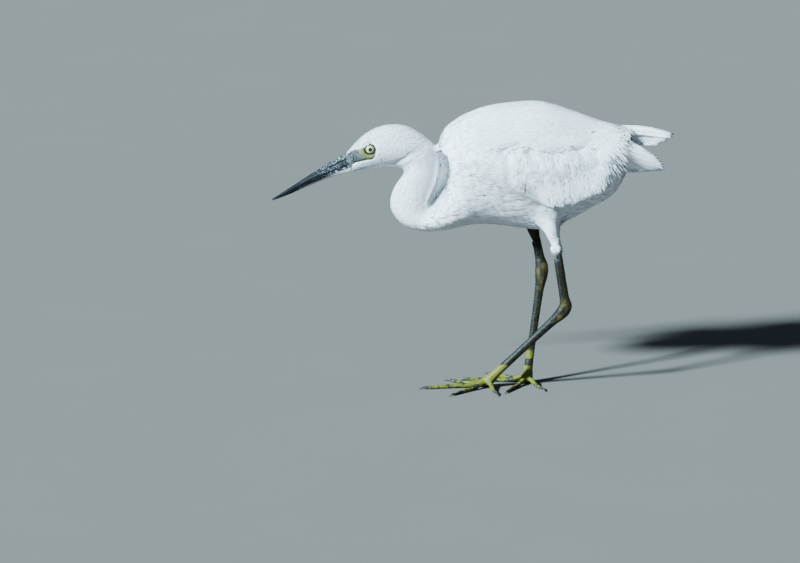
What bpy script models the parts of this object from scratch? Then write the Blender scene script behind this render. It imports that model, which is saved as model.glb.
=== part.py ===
"""Little egret, life size, stalking on level ground with its neck folded in an S.

Lengths are in millimetres and become metres where a mesh is made. The origin is on the ground under
the middle of the bird's length. The bill points along -X, +Z is up, and the bird's left side is -Y.
"""

import math
from collections import namedtuple

import bmesh
import bpy
from mathutils import Matrix, Vector

MM = 0.001
GAP = 0.3  # width of the thin cuts between neighbouring pieces

EYE_RADIUS = 5.6
EYE_CENTRE = (-103.2, 9.3, 245.0)
TARSUS_LENGTH = 110.0
HUB_HEIGHT = 6.5  # height of the joint where the toes meet the tarsus

Section = namedtuple("Section", "name dorsal ventral half_width egg")

# The body is one tube from the root of the bill to the root of the tail. Each cross-section runs from
# a point of the upper outline to a point of the lower one, in the XZ plane. Egg widens its upper half.
BODY = (
    Section("bill root", (-127.0, 238.5), (-123.5, 218.5), 6.6, 0.0),
    Section("lores", (-116.0, 251.0), (-112.0, 220.5), 10.2, -0.06),
    Section("eye", (-103.0, 261.5), (-99.5, 223.0), 13.4, -0.06),
    Section("crown", (-85.0, 267.8), (-84.5, 225.0), 15.8, 0.0),
    Section("occiput", (-65.0, 266.0), (-73.5, 224.3), 15.6, 0.02),
    Section("nape", (-46.5, 255.4), (-68.5, 220.3), 15.0, 0.0),
    Section("neck top", (-35.5, 240.0), (-71.0, 214.5), 14.8, 0.0),
    Section("neck upper", (-33.2, 223.5), (-78.0, 205.7), 15.4, 0.0),
    Section("neck middle", (-36.0, 206.5), (-83.0, 192.0), 16.4, 0.0),
    Section("bend front", (-41.5, 192.5), (-81.0, 177.5), 17.6, 0.0),
    Section("bend low", (-45.8, 184.6), (-67.5, 163.6), 19.6, 0.0),
    Section("bend back", (-43.0, 184.6), (-44.5, 158.3), 23.0, 0.0),
    Section("neck root", (-33.5, 198.5), (-22.5, 161.0), 29.0, 0.0),
    Section("breast", (-26.3, 219.5), (0.0, 166.0), 35.5, 0.05),
    Section("shoulder", (-35.0, 246.5), (22.0, 165.5), 39.0, 0.08),
    Section("mantle front", (-27.5, 266.3), (42.0, 162.8), 40.5, 0.10),
    Section("mantle", (0.0, 283.2), (63.0, 159.8), 41.5, 0.12),
    Section("back", (33.0, 290.3), (84.0, 163.5), 40.5, 0.12),
    Section("loin", (67.0, 292.0), (105.0, 174.5), 36.5, 0.10),
    Section("rump", (99.0, 282.3), (124.5, 186.0), 30.0, 0.08),
    Section("vent", (125.0, 273.0), (141.0, 197.0), 22.5, 0.05),
    Section("tail coverts", (142.0, 268.4), (153.0, 219.0), 15.5, 0.0),
    Section("tail root", (152.0, 267.0), (159.0, 240.0), 10.5, 0.0),
)
BODY_SIDES = 22
RINGS_PER_SECTION = 2.5

CLEARANCE_START = 11.5  # the section where the solid that clears wings, thighs and tail begins

# Where the body tube is parted, counted in sections from the root of the bill.
BODY_NODES = (
    ("head", 0.0, 5.0),
    ("neck_upper", 5.0, 7.6),
    ("neck_middle", 7.6, 9.7),
    ("neck_lower", 9.7, 12.5),
    ("trunk", 12.5, 22.0),
)

# The bill, from its root to its tip, in the XZ plane: its ridge, the line where the mandibles meet and
# its lower edge.
Mandibles = namedtuple("Mandibles", "culmen mouth gonys half_width")
BILL = (
    Mandibles((-127.4, 238.9), (-125.3, 226.5), (-123.9, 218.3), 5.9),
    Mandibles((-145.6, 227.6), (-144.2, 219.0), (-142.8, 213.4), 4.9),
    Mandibles((-164.0, 215.5), (-163.2, 210.0), (-162.2, 205.3), 3.8),
    Mandibles((-182.5, 203.2), (-182.0, 200.4), (-181.2, 197.0), 2.6),
    Mandibles((-195.5, 194.7), (-195.3, 193.3), (-195.0, 191.6), 1.3),
    Mandibles((-201.2, 191.0), (-201.2, 190.2), (-201.0, 189.6), 0.5),
)
BILL_SIDES = 8

# A folded wing, from its wrist to the tips of its primaries. Upper and lower are (x, y, z) on its edges
# for the left side, and crest is how far its middle stands out from the mid-plane.
Blade = namedtuple("Blade", "name upper lower crest thickness")
WING = (
    Blade("wrist", (-17.0, -33.0, 256.0), (-12.0, -35.0, 234.0), 40.0, 8.0),
    Blade("alula", (-3.0, -31.0, 270.0), (3.0, -38.0, 214.0), 46.5, 12.0),
    Blade("forearm", (22.0, -27.0, 277.0), (33.0, -40.0, 202.5), 49.5, 16.0),
    Blade("elbow", (52.0, -24.0, 280.0), (68.0, -39.0, 192.5), 50.0, 18.0),
    Blade("greater coverts", (82.0, -22.0, 276.0), (90.0, -35.0, 193.5), 47.0, 18.0),
    Blade("secondaries", (110.0, -18.0, 270.5), (117.0, -31.0, 206.0), 40.0, 15.0),
    Blade("tertials", (131.0, -14.5, 266.0), (137.0, -26.0, 217.5), 32.0, 10.0),
    Blade("primary roots", (147.0, -13.5, 261.3), (152.0, -21.0, 225.5), 25.5, 6.5),
    Blade("primaries", (163.0, -13.5, 254.3), (167.0, -17.0, 223.0), 20.5, 4.5),
    Blade("primary ends", (179.0, -13.5, 245.6), (181.0, -15.0, 222.0), 17.5, 3.2),
    Blade("wing tip", (188.3, -13.0, 236.0), (190.0, -13.5, 223.5), 15.0, 2.2),
)
WING_SIDES = 16

TAIL_ROOT_X, TAIL_TIP_X = 140.0, 201.5
TAIL_ROOT_HALF, TAIL_TIP_HALF = 9.0, 18.5
TAIL_RIDGE_Z, TAIL_FALL, TAIL_DROOP = 266.3, 8.0, 13.0
TAIL_THICKNESS = 2.4
TAIL_ROUNDING = 7.0  # how much shorter the outer feathers are than the middle pair

Leg = namedtuple("Leg", "hub thigh_top thigh_end pitch lean toes")
Toe = namedtuple("Toe", "name heading curl length radius claw")

# Headings are in degrees from straight ahead, positive towards the bird's left, and a toe's curl is how
# much its heading turns from root to tip. Pitch is the slope of the tarsus, and lean is how far out the
# ankle lies from the foot.
LEGS = {
    "left": Leg(
        hub=(15.0, -8.0),
        thigh_top=(68.0, -20.0, 206.0),
        thigh_end=(82.5, -23.0, 148.0),
        pitch=44.5,
        lean=-12.0,
        toes=(
            Toe("middle", 6.0, 5.0, 60.0, 3.2, 10.0),
            Toe("outer", 41.0, 8.0, 47.0, 2.9, 8.5),
            Toe("inner", -25.0, -8.0, 42.0, 2.9, 8.5),
            Toe("hind", 108.0, -6.0, 27.0, 3.0, 14.0),
        ),
    ),
    "right": Leg(
        hub=(54.0, 8.0),
        thigh_top=(48.0, 20.0, 206.0),
        thigh_end=(63.5, 21.0, 142.0),
        pitch=80.5,
        lean=10.0,
        toes=(
            Toe("middle", -11.0, 6.0, 60.0, 3.2, 10.0),
            Toe("outer", -40.0, -2.0, 47.0, 2.9, 8.5),
            Toe("inner", 60.0, 6.0, 42.0, 2.9, 8.5),
            Toe("hind", 122.0, -8.0, 27.0, 3.0, 14.0),
        ),
    ),
}
LEG_SIDES = 10

# The stretches of a leg's path that are nodes, by the numbers of their first and last stations.
LEG_NODES = (
    ("thigh", 0, 2),
    ("shank", 2, 4),
    ("ankle", 4, 7),
    ("tarsus", 7, 10),
    ("foot", 10, 12),
)
TOE_SIDES = 8
TOE_SPACING = 6.0  # between the rings along a toe
PALM = 13.0  # length at each toe's root that belongs to the foot
TOE_DESCENT = 21.0  # distance from the hub within which a toe comes down to the ground
TOE_TAPER = 0.38  # share of its thickness that a toe loses by its tip
KNUCKLE_SWELL = 0.07
PHALANX = 15.0  # from one knuckle to the next
CLAW_RINGS = 5
CLAW_ROOT = 0.8  # thickness of a claw's root over that of the toe's tip
CLAW_BOW = 0.11  # rise of a claw's arch over its length
CLAW_TIP = 0.35
SOLE_SINK = 0.86  # height of a toe's axis over its radius, so that it rests on a narrow flat

WHITE = (0.86, 0.87, 0.88, 1.0)
BILL_BLACK = (0.05, 0.06, 0.07, 1.0)
EYE_YELLOW = (0.72, 0.74, 0.42, 1.0)
LEG_OLIVE = (0.09, 0.085, 0.05, 1.0)
FOOT_YELLOW = (0.5, 0.52, 0.09, 1.0)
CLAW_BLACK = (0.04, 0.04, 0.045, 1.0)


def clear_scene():
    for obj in list(bpy.data.objects):
        bpy.data.objects.remove(obj, do_unlink=True)


def new_collection(name):
    made = bpy.data.collections.new(name)
    bpy.context.scene.collection.children.link(made)
    return made


def material(name, colour, roughness):
    made = bpy.data.materials.new(name)
    made.use_nodes = True
    shader = made.node_tree.nodes["Principled BSDF"]
    shader.inputs["Base Color"].default_value = colour
    shader.inputs["Roughness"].default_value = roughness
    shader.inputs["Metallic"].default_value = 0.0
    return made


def between(values, place):
    """The Catmull-Rom value at a place counted in whole steps along values, which are tuples."""
    last = len(values) - 1
    start = min(int(place), last - 1)
    t = place - start
    before, a, b, after = (
        Vector(values[min(max(start + step, 0), last)]) for step in (-1, 0, 1, 2)
    )
    return 0.5 * (
        2 * a
        + (b - before) * t
        + (2 * before - 5 * a + 4 * b - after) * t**2
        + (3 * a - before - 3 * b + after) * t**3
    )


def steps(start, end, per_unit):
    """Places from start to end, with about per_unit of them for each whole step."""
    count = max(2, math.ceil((end - start) * per_unit))
    return [start + (end - start) * i / count for i in range(count + 1)]


def oval(sides, egg=0.0):
    """Points (across, up) round an oval of half-axes 1. Egg widens its upper half."""
    angles = [2 * math.pi * i / sides for i in range(sides)]
    return [(math.sin(a) * (1 + egg * math.cos(a)), math.cos(a)) for a in angles]


def new_object(name, mesh, collection, finish=None, angle=35):
    obj = bpy.data.objects.new(name, mesh)
    collection.objects.link(obj)
    if finish:
        mesh.materials.append(finish)
    mesh.shade_smooth()
    mesh.set_sharp_from_angle(angle=math.radians(angle))
    return obj


def loft(name, rings, collection, finish=None):
    """A closed solid through rings of points, in millimetres, with a flat cap on its first and last."""
    bm = bmesh.new()
    loops = [[bm.verts.new(Vector(point) * MM) for point in ring] for ring in rings]
    for first, second in zip(loops, loops[1:]):
        for i in range(len(first)):
            j = (i + 1) % len(first)
            bm.faces.new((first[i], first[j], second[j], second[i]))
    bm.faces.new(reversed(loops[0]))
    bm.faces.new(loops[-1])
    bmesh.ops.recalc_face_normals(bm, faces=bm.faces)
    mesh = bpy.data.meshes.new(name)
    bm.to_mesh(mesh)
    bm.free()
    return new_object(name, mesh, collection, finish)


def cut(obj, cutter):
    modifier = obj.modifiers.new(f"clear of {cutter.name}", "BOOLEAN")
    modifier.operation = "DIFFERENCE"
    modifier.object = cutter


def as_cutter(obj):
    obj.hide_render = True
    obj.display_type = "WIRE"
    return obj


def body_ring(place, grow=0.0):
    dorsal = between([s.dorsal for s in BODY], place)
    ventral = between([s.ventral for s in BODY], place)
    width, egg = between([(s.half_width, s.egg) for s in BODY], place)
    centre = (dorsal + ventral) / 2
    up = (dorsal - ventral) / 2
    up *= 1 + grow / up.length
    return [
        (
            centre.x + up.x * high,
            (width + grow) * across,
            centre.y + up.y * high,
        )
        for across, high in oval(BODY_SIDES, egg)
    ]


def body_middle(place):
    dorsal = between([s.dorsal for s in BODY], place)
    ventral = between([s.ventral for s in BODY], place)
    return (dorsal + ventral) / 2


def gap_in_places(place):
    """How far along the tube, in sections, half a gap reaches."""
    probe = 0.01
    low, high = max(place - probe, 0), min(place + probe, len(BODY) - 1)
    travel = (body_middle(high) - body_middle(low)).length / (high - low)
    return GAP / 2 / travel


def make_body(collection, finish):
    for name, start, end in BODY_NODES:
        first = start + (gap_in_places(start) if start > 0 else 0)
        final = end - (gap_in_places(end) if end < len(BODY) - 1 else 0)
        rings = [body_ring(place) for place in steps(first, final, RINGS_PER_SECTION)]
        loft(name, rings, collection, finish)


def sphere(name, centre, radius, collection, finish=None):
    """A ball whose poles point sideways, so that its rings run round the line of sight."""
    bm = bmesh.new()
    bmesh.ops.create_uvsphere(bm, u_segments=14, v_segments=8, radius=radius * MM)
    bmesh.ops.rotate(bm, verts=bm.verts, matrix=Matrix.Rotation(math.pi / 2, 3, "X"))
    bmesh.ops.translate(bm, verts=bm.verts, vec=Vector(centre) * MM)
    mesh = bpy.data.meshes.new(name)
    bm.to_mesh(mesh)
    bm.free()
    return new_object(name, mesh, collection, finish, 80)


def make_eyes(collection, cutters, finish):
    head = bpy.data.objects["head"]
    x, y, z = EYE_CENTRE
    for side, sign in (("left", -1), ("right", 1)):
        sphere(f"eye_{side}", (x, sign * y, z), EYE_RADIUS, collection, finish)
        socket = sphere(f"socket_{side}", (x, sign * y, z), EYE_RADIUS + GAP, cutters)
        cut(head, as_cutter(socket))


def half_oval(sides):
    """Points (across, out) round half an oval of half-axes 1, closed by its flat side."""
    angles = [math.pi * (i / sides - 0.5) for i in range(sides + 1)]
    return [(math.sin(a), math.cos(a)) for a in angles]


def bill_ring(place, outline):
    """Half an oval from the line of the mouth out to the culmen or the gonys."""
    edge = between([getattr(b, outline) for b in BILL], place)
    mouth = between([b.mouth for b in BILL], place)
    width = between([(b.half_width, 0.0) for b in BILL], place).x
    out = (edge - mouth).normalized()
    start = mouth + out * (GAP / 2)
    return [
        (start.x + (edge - start).x * rise, width * across, start.y + (edge - start).y * rise)
        for across, rise in half_oval(BILL_SIDES)
    ]


def make_bill(collection, finish):
    last = len(BILL) - 1
    for name, outline in (("bill_upper", "culmen"), ("bill_lower", "gonys")):
        loft(name, [bill_ring(place, outline) for place in steps(0, last, 2)], collection, finish)


def blade_ring(place, side, grow=0.0):
    """A crescent across the folded wing: out along its outer face and back along its inner one."""
    upper = between([b.upper for b in WING], place)
    lower = between([b.lower for b in WING], place)
    crest, thickness = between([(b.crest, b.thickness) for b in WING], place)
    middle = (upper + lower) / 2
    half = (upper - lower) / 2
    half *= 1 + grow / half.length
    bulge = crest - abs(middle.y)
    ring = []
    for across, high in oval(WING_SIDES):
        base = middle + half * high
        arch = bulge * (1 - high * high)
        depth = thickness / 2 * (across - 1) + grow * across
        ring.append((base.x, side * (abs(base.y) + arch + depth), base.z))
    return ring


def make_wings(collection, cutters, finish):
    places = steps(CLEARANCE_START, len(BODY) - 1, RINGS_PER_SECTION)
    body = as_cutter(loft("body_clearance", [body_ring(p, GAP) for p in places], cutters))
    last = len(WING) - 1
    for name, side in (("left", -1), ("right", 1)):
        rings = [blade_ring(place, side) for place in steps(0, last, 2)]
        wing = loft(f"wing_{name}", rings, collection, finish)
        cut(wing, body)
        rings = [blade_ring(place, side, GAP) for place in steps(0, last, 2)]
        as_cutter(loft(f"wing_clearance_{name}", rings, cutters))


def make_tail(collection, finish):
    """A folded tail: a thin sheet, ridged along the middle like a roof, its outer feathers shorter."""
    bm = bmesh.new()
    bmesh.ops.create_grid(bm, x_segments=10, y_segments=12, size=1.0)
    for vert in bm.verts:
        along, across = (vert.co.x + 1) / 2, vert.co.y
        half = TAIL_ROOT_HALF + (TAIL_TIP_HALF - TAIL_ROOT_HALF) * along
        length = TAIL_TIP_X - TAIL_ROOT_X - TAIL_ROUNDING * across**2
        x = TAIL_ROOT_X + length * along
        ridge = TAIL_RIDGE_Z - TAIL_FALL * along**3
        droop = TAIL_DROOP * abs(across) ** 1.4 * (0.5 + 0.5 * along)
        vert.co = Vector((x, half * across, ridge - droop)) * MM
    mesh = bpy.data.meshes.new("tail")
    bm.to_mesh(mesh)
    bm.free()
    tail = new_object("tail", mesh, collection, finish)
    shell = tail.modifiers.new("feather thickness", "SOLIDIFY")
    shell.thickness = TAIL_THICKNESS * MM
    shell.offset = -1
    for cutter in ("body_clearance", "wing_clearance_left", "wing_clearance_right"):
        cut(tail, bpy.data.objects[cutter])


def ankle_of(leg):
    """The ankle, a tarsus length up and back from the hub of the toes."""
    rise = TARSUS_LENGTH * math.sin(math.radians(leg.pitch))
    back = math.sqrt(TARSUS_LENGTH**2 - rise**2 - leg.lean**2)
    x, y = leg.hub
    return Vector((x + back, y + leg.lean, HUB_HEIGHT + rise))


def leg_path(leg):
    """Stations down the leg: (point, half depth fore and aft, half width), from the flank to the toes."""
    hub = Vector((*leg.hub, HUB_HEIGHT))
    ankle = ankle_of(leg)
    thigh_top, thigh_end = Vector(leg.thigh_top), Vector(leg.thigh_end)
    down_shank = (ankle - thigh_end).normalized()
    down_tarsus = (hub - ankle).normalized()
    shank = (ankle - thigh_end).length
    return (
        (thigh_top, (17.0, 10.0)),
        (thigh_top.lerp(thigh_end, 0.55), (12.0, 9.5)),
        (thigh_end, (5.3, 5.0)),
        (thigh_end + down_shank * shank * 0.4, (4.9, 4.2)),
        (ankle - down_shank * 12.0, (5.1, 4.4)),
        (ankle - down_shank * 3.0, (6.7, 5.3)),
        (ankle + down_tarsus * 6.0, (6.6, 5.2)),
        (ankle + down_tarsus * 20.0, (4.8, 3.9)),
        (ankle + down_tarsus * 50.0, (4.1, 3.4)),
        (hub - down_tarsus * 24.0, (4.2, 3.8)),
        (hub - down_tarsus * 9.0, (4.8, 4.6)),
        (hub, (6.2, 6.2)),
        (hub + Vector((-1.5, 0.0, -3.2)), (5.6, 5.6)),
    )


def leg_ring(path, place):
    points = [point for point, _ in path]
    ahead = between(points, min(place + 0.05, len(path) - 1))
    behind = between(points, max(place - 0.05, 0))
    along = (ahead - behind).normalized()
    centre = between(points, place)
    depth, width = between([sizes for _, sizes in path], place)
    side = (Vector((0, 1, 0)) - along * along.y).normalized()
    front = side.cross(along)
    ring = []
    for across, high in oval(LEG_SIDES):
        point = centre + side * (width * across) + front * (depth * high)
        point.z = max(point.z, 0.0)
        ring.append(point)
    return ring


def toe_point(leg, toe, distance):
    """The axis of a toe at a distance from the hub, and the way it heads there."""
    share = distance / toe.length
    x, y = leg.hub
    mean = math.radians(toe.heading + toe.curl * share / 2)
    here = math.radians(toe.heading + toe.curl * share)
    ease = min(distance / TOE_DESCENT, 1.0)
    drop = ease * ease * (3 - 2 * ease)
    height = HUB_HEIGHT + (toe_radius(toe, distance) * SOLE_SINK - HUB_HEIGHT) * drop
    point = Vector((x - distance * math.cos(mean), y - distance * math.sin(mean), height))
    return point, Vector((-math.cos(here), -math.sin(here), 0.0))


def toe_radius(toe, distance):
    taper = 1 - TOE_TAPER * distance / toe.length
    return toe.radius * taper * (1 + KNUCKLE_SWELL * math.cos(2 * math.pi * distance / PHALANX))


def round_ring(centre, along, radius, sides):
    side = Vector((0, 0, 1)).cross(along).normalized()
    front = along.cross(side)
    ring = []
    for across, high in oval(sides):
        point = centre + side * (radius * across) + front * (radius * high)
        point.z = max(point.z, 0.0)
        ring.append(point)
    return ring


def toe_rings(leg, toe, start, end):
    count = math.ceil((end - start) / TOE_SPACING)
    rings = []
    for i in range(count + 1):
        distance = start + (end - start) * i / count
        centre, along = toe_point(leg, toe, distance)
        rings.append(round_ring(centre, along, toe_radius(toe, distance), TOE_SIDES))
    return rings


def claw_rings(leg, toe):
    """A claw that leaves the toe level, arches a little and comes down to the ground at its point."""
    root, along = toe_point(leg, toe, toe.length + GAP)
    start = toe_radius(toe, toe.length) * CLAW_ROOT
    bow = toe.claw * CLAW_BOW
    rings = []
    for i in range(CLAW_RINGS + 1):
        share = i / CLAW_RINGS
        radius = start + (CLAW_TIP - start) * share
        height = root.z * (1 - share) + CLAW_TIP * share + bow * math.sin(math.pi * share)
        centre = root + along * (toe.claw * share)
        centre.z = height
        rings.append(round_ring(centre, along, radius, TOE_SIDES))
    return rings


def join(obj, other):
    modifier = obj.modifiers.new(f"joined to {other.name}", "BOOLEAN")
    modifier.operation = "UNION"
    modifier.object = other


def make_leg(side, leg, collection, cutters, finishes):
    path = leg_path(leg)
    for name, start, end in LEG_NODES:
        final = end
        if end < len(path) - 1:
            final -= GAP / (path[end][0] - path[end - 1][0]).length
        rings = [leg_ring(path, place) for place in steps(start, final, 3)]
        made = loft(f"{name}_{side}", rings, collection, finishes[name])
        if name == "thigh":
            cut(made, bpy.data.objects["body_clearance"])
    for toe in leg.toes:
        label = f"{side}_{toe.name}"
        root = loft(f"toe_root_{label}", toe_rings(leg, toe, 0.0, PALM), cutters)
        join(made, as_cutter(root))
        rings = toe_rings(leg, toe, PALM + GAP, toe.length)
        loft(f"toe_{label}", rings, collection, finishes["toe"])
        loft(f"claw_{label}", claw_rings(leg, toe), collection, finishes["claw"])


def main():
    clear_scene()
    egret = new_collection("little_egret")
    cutters = new_collection("cutters")
    plumage = material("white plumage", WHITE, 0.85)
    horn = material("bill horn", BILL_BLACK, 0.4)
    iris = material("iris", EYE_YELLOW, 0.1)
    scales = material("leg scales", LEG_OLIVE, 0.5)
    foot_skin = material("foot skin", FOOT_YELLOW, 0.55)
    claw_horn = material("claw horn", CLAW_BLACK, 0.4)
    make_body(egret, plumage)
    make_eyes(egret, cutters, iris)
    make_bill(egret, horn)
    make_wings(egret, cutters, plumage)
    make_tail(egret, plumage)
    finishes = {
        "thigh": plumage,
        "shank": scales,
        "ankle": scales,
        "tarsus": scales,
        "foot": foot_skin,
        "toe": foot_skin,
        "claw": claw_horn,
    }
    for side, leg in LEGS.items():
        make_leg(side, leg, egret, cutters, finishes)


main()
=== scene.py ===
import heapq
import math

import bmesh
import bpy
import numpy as np
from mathutils import Matrix, Vector
from mathutils.bvhtree import BVHTree
from mathutils.kdtree import KDTree


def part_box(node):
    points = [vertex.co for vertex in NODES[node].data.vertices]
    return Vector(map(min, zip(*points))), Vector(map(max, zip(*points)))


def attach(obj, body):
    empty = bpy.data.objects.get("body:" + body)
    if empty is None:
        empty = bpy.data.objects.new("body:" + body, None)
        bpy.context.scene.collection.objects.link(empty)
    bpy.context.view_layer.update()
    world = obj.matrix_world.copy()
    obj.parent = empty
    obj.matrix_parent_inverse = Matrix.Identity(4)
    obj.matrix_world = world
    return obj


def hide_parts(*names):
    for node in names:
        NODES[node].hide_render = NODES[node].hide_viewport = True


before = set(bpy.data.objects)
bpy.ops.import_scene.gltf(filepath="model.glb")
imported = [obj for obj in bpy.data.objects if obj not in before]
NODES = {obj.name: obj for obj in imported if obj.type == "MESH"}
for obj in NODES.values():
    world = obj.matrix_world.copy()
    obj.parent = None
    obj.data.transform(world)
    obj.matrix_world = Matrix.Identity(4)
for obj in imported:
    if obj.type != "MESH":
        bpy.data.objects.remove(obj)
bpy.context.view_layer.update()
MM = 0.001
SIDES = {"left": -1.0, "right": 1.0}

# View, in the photograph's frame of 800 by 563 pixels, where a pixel is a millimetre at the bird.
FRAME_WIDTH = 0.8
SENSOR_WIDTH = 36.0  # millimetres
VIEW_PITCH = math.radians(14)
VIEW_DISTANCE = 12.0
AIM = (-0.073, 0.1035)  # the middle of the frame: metres along X, and up the picture from the origin

# Skin
BODY_VOXEL = 2.05 * MM
LEG_VOXEL = 0.78 * MM
BILL_VOXEL = 0.36 * MM
CLAW_VOXEL = 0.3 * MM

# Boxes (x, distance from the middle, z) where the skin is finer: the head, the bare face, and the fold
# along the mantle.
FINER = [
    ((-0.2, -1.0, 0.218), (-0.060, 1.0, 0.3)),
    ((-0.2, -1.0, 0.214), (-0.093, 1.0, 0.258)),
    ((0.012, 0.026, 0.236), (0.130, 1.0, 0.270)),
]

# Loose plumage that fills the neck's bend: the middle of a ball and its three radii.
BEHIND_NECK = ((-0.0315, 0.0075, 0.2160), (0.0080, 0.0030, 0.0260))
CLOSE_GAPS = 0.35 * MM  # how far the parts swell before they are joined over their thin cuts
WING_FLESH_END = 0.150  # past this a wing is only feathers
THIGHS = ["thigh_left", "thigh_right"]
WINGS = ["wing_left", "wing_right"]
CORE = ["head", "neck_upper", "neck_middle", "neck_lower", "trunk"]
COATED = [*CORE, *WINGS, *THIGHS]
TOES = ["middle", "outer", "inner", "hind"]
SCALY = [f"{part}_{side}" for side in SIDES for part in ("shank", "ankle", "tarsus", "foot")]
SCALY += [f"toe_{side}_{toe}" for side in SIDES for toe in TOES]
LEG_SCUTE, TOE_SCUTE = 3.3 * MM, 2.2 * MM  # from one scute's seam to the next
SCUTE_HEIGHT = 0.3 * MM
CLAWS = [f"claw_{side}_{toe}" for side in SIDES for toe in TOES]

LOW_THIGH = (0.145, 0.165)  # heights between which the coat of the thighs thins out downwards
THIGH_THINNING = 0.3
WING_BACK_LIFT = 1.3 * MM  # how much nearer the CAD surface the skin lies at the back of a wing
WING_BACK = (0.110, 0.140)
JAW_CREASE = 1.6 * MM
JAW_CREASE_WIDTH = 3.5 * MM
SIDE_OF_JAW = 3 * MM  # the crease starts this far from the middle
SIDE_OF_BODY = 22 * MM  # the mantle's fold starts this far from the middle
BEAK_NARROWING = 0.15

# The edge of the face's feathers in side view, as (x, z) in metres: from the root of the culmen back over
# the lore, round the eye, along the gape and down to the chin. Inside it the skin is bare.
FACE = [
    (-0.1400, 0.2330), (-0.1292, 0.2370), (-0.1250, 0.2392), (-0.1219, 0.2410), (-0.1171, 0.2430),
    (-0.1120, 0.2446), (-0.1082, 0.2466), (-0.1068, 0.2488), (-0.1030, 0.2509), (-0.0988, 0.2496),
    (-0.0967, 0.2460), (-0.0973, 0.2420), (-0.0984, 0.2372), (-0.1011, 0.2345), (-0.1056, 0.2338),
    (-0.1107, 0.2325), (-0.1177, 0.2306), (-0.1206, 0.2280), (-0.1215, 0.2210), (-0.1225, 0.2120),
    (-0.1400, 0.2120),
]
EYE_SPOT = (-0.1027, 0.0094, 0.2453)  # the middle of the right eye
EYE_RADIUS = 5.6 * MM
BACK_OF_EYE = 9 * MM  # a radius past the iris, which colours the hidden half of the eyeball
LID_INNER, LID_OUTER, LID_REACH = 4.3 * MM, 5.8 * MM, 7.2 * MM
LID_HEIGHT = 0.45 * MM
LID_SQUEEZE = 1.08  # how much lower than wide the opening between the lids is

# The lower edge of the mantle over the closed wing, as (x, z) in metres, where the coat folds in.
MANTLE_EDGE = [
    (0.018, 0.2520), (0.024, 0.2540), (0.046, 0.2605), (0.054, 0.2560), (0.065, 0.2530),
    (0.078, 0.2510), (0.0925, 0.2516), (0.105, 0.2540), (0.116, 0.2600), (0.126, 0.2640),
]
MANTLE_FOLD = 2.1 * MM

# The furrow between the folded neck and the breast.
NECK_FOLD = [
    (-0.0310, 0.2362), (-0.0293, 0.2274), (-0.0300, 0.2171), (-0.0320, 0.2078), (-0.0380, 0.1960),
    (-0.0435, 0.1882),
]
FURROW_FLOOR = (6.5 * MM, 8.5 * MM)  # how far right of the middle its floor lies, from the left and right

# The lower edge of the closed wing, as (x, z).
WING_EDGE = [
    (0.060, 0.1944), (0.075, 0.1930), (0.100, 0.2000), (0.120, 0.2101), (0.140, 0.2224), (0.16, 0.2230),
]

# How far below the wing's edge a strand may hang, which under 0 means that it ends above the edge.
FRINGE = -1.0 * MM
SHORTEST_FRINGE = 5 * MM  # but no strand is cut shorter than this
CURTAIN = (18 * MM, 42 * MM)  # heights over the wing's edge between which the coat stops hanging straight
CURTAIN_LIE = (0.35, 0.0, -1.0)
CURTAIN_STAND = 0.12
MANTLE_LIP = 8 * MM  # strands are short and calm this near the mantle's lower edge
STEEPNESS = ((0.0, 0.03, 0.10, 0.125, 0.15), (50, 78, 70, 62, 44))  # along X, and degrees down a wing

# The crease between the jaw and the folded neck.
JAW_FOLD = [
    (-0.0900, 0.2270), (-0.0819, 0.2282), (-0.0775, 0.2300), (-0.0735, 0.2330), (-0.0678, 0.2360),
    (-0.0643, 0.2398), (-0.0600, 0.2420), (-0.0538, 0.2440),
]

# The coat on each part, in millimetres: how deep the skin lies under the CAD surface, the coat's height over
# the skin, the length and width of its strands, and the height of its locks.
TRAITS = ("depth", "height", "length", "width", "relief")
COAT_ON = {
    "head": (1.2, 1.2, 4.5, 0.5, 0.10),
    "neck_upper": (1.8, 1.8, 7.5, 0.7, 0.18),
    "neck_middle": (2.0, 2.0, 8.5, 0.75, 0.22),
    "neck_lower": (2.8, 2.8, 12, 0.9, 0.24),
    "trunk": (3.6, 3.4, 19, 1.1, 0.26),
    "wing": (3.4, 3.4, 16, 1.1, 0.75),
    "thigh": (1.8, 1.8, 10, 0.7, 0.3),
}
LOCKS = [(5.5 * MM, 5, 0.75, 3), (2.6 * MM, 3, 0.35, 4)]  # size across, steps along, strength, seed
LOCK_STEP = 4 * MM
BREAST_LIE = (1.0, 0.0, -0.22)
RANKS = {"head": 0, "neck_upper": 1, "neck_middle": 2, "neck_lower": 3, "trunk": 4, "wing": 5, "thigh": 5}
SHORT = {
    "stations": (0.0, 0.5, 1.0),
    "rises": (0.1, 0.65, 1.0),
    "stray": 0.14,
    "loose": 0.05,
    "in_lock": 14,
    "gather": 0.3,
    "lean": 0.17,
}
LONG = {
    "stations": (0.0, 0.35, 0.7, 1.0),
    "rises": (0.1, 0.5, 0.85, 1.0),
    "stray": 0.12,
    "loose": 0.10,
    "in_lock": 30,
    "gather": 0.45,
    "lean": 0.19,
}
STRANDS = {"short": SHORT, "long": LONG}
STRAND_PROFILE = {2: (0.7, 1.0), 3: (0.6, 1.0, 0.8)}
RIDGE = 0.22  # height of a strand's ridge over half its width
PATCH = 0.003  # size of a strand on the OFBake map
FAR_THIGH_SHADE_TOP = 0.166  # the far thigh is painted as dark bare leg skin from here down, higher than the near one: painted shade under the belly
UPPER_COAT = 0.215  # where the trunk's coat is parted into an upper and a lower piece

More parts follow.
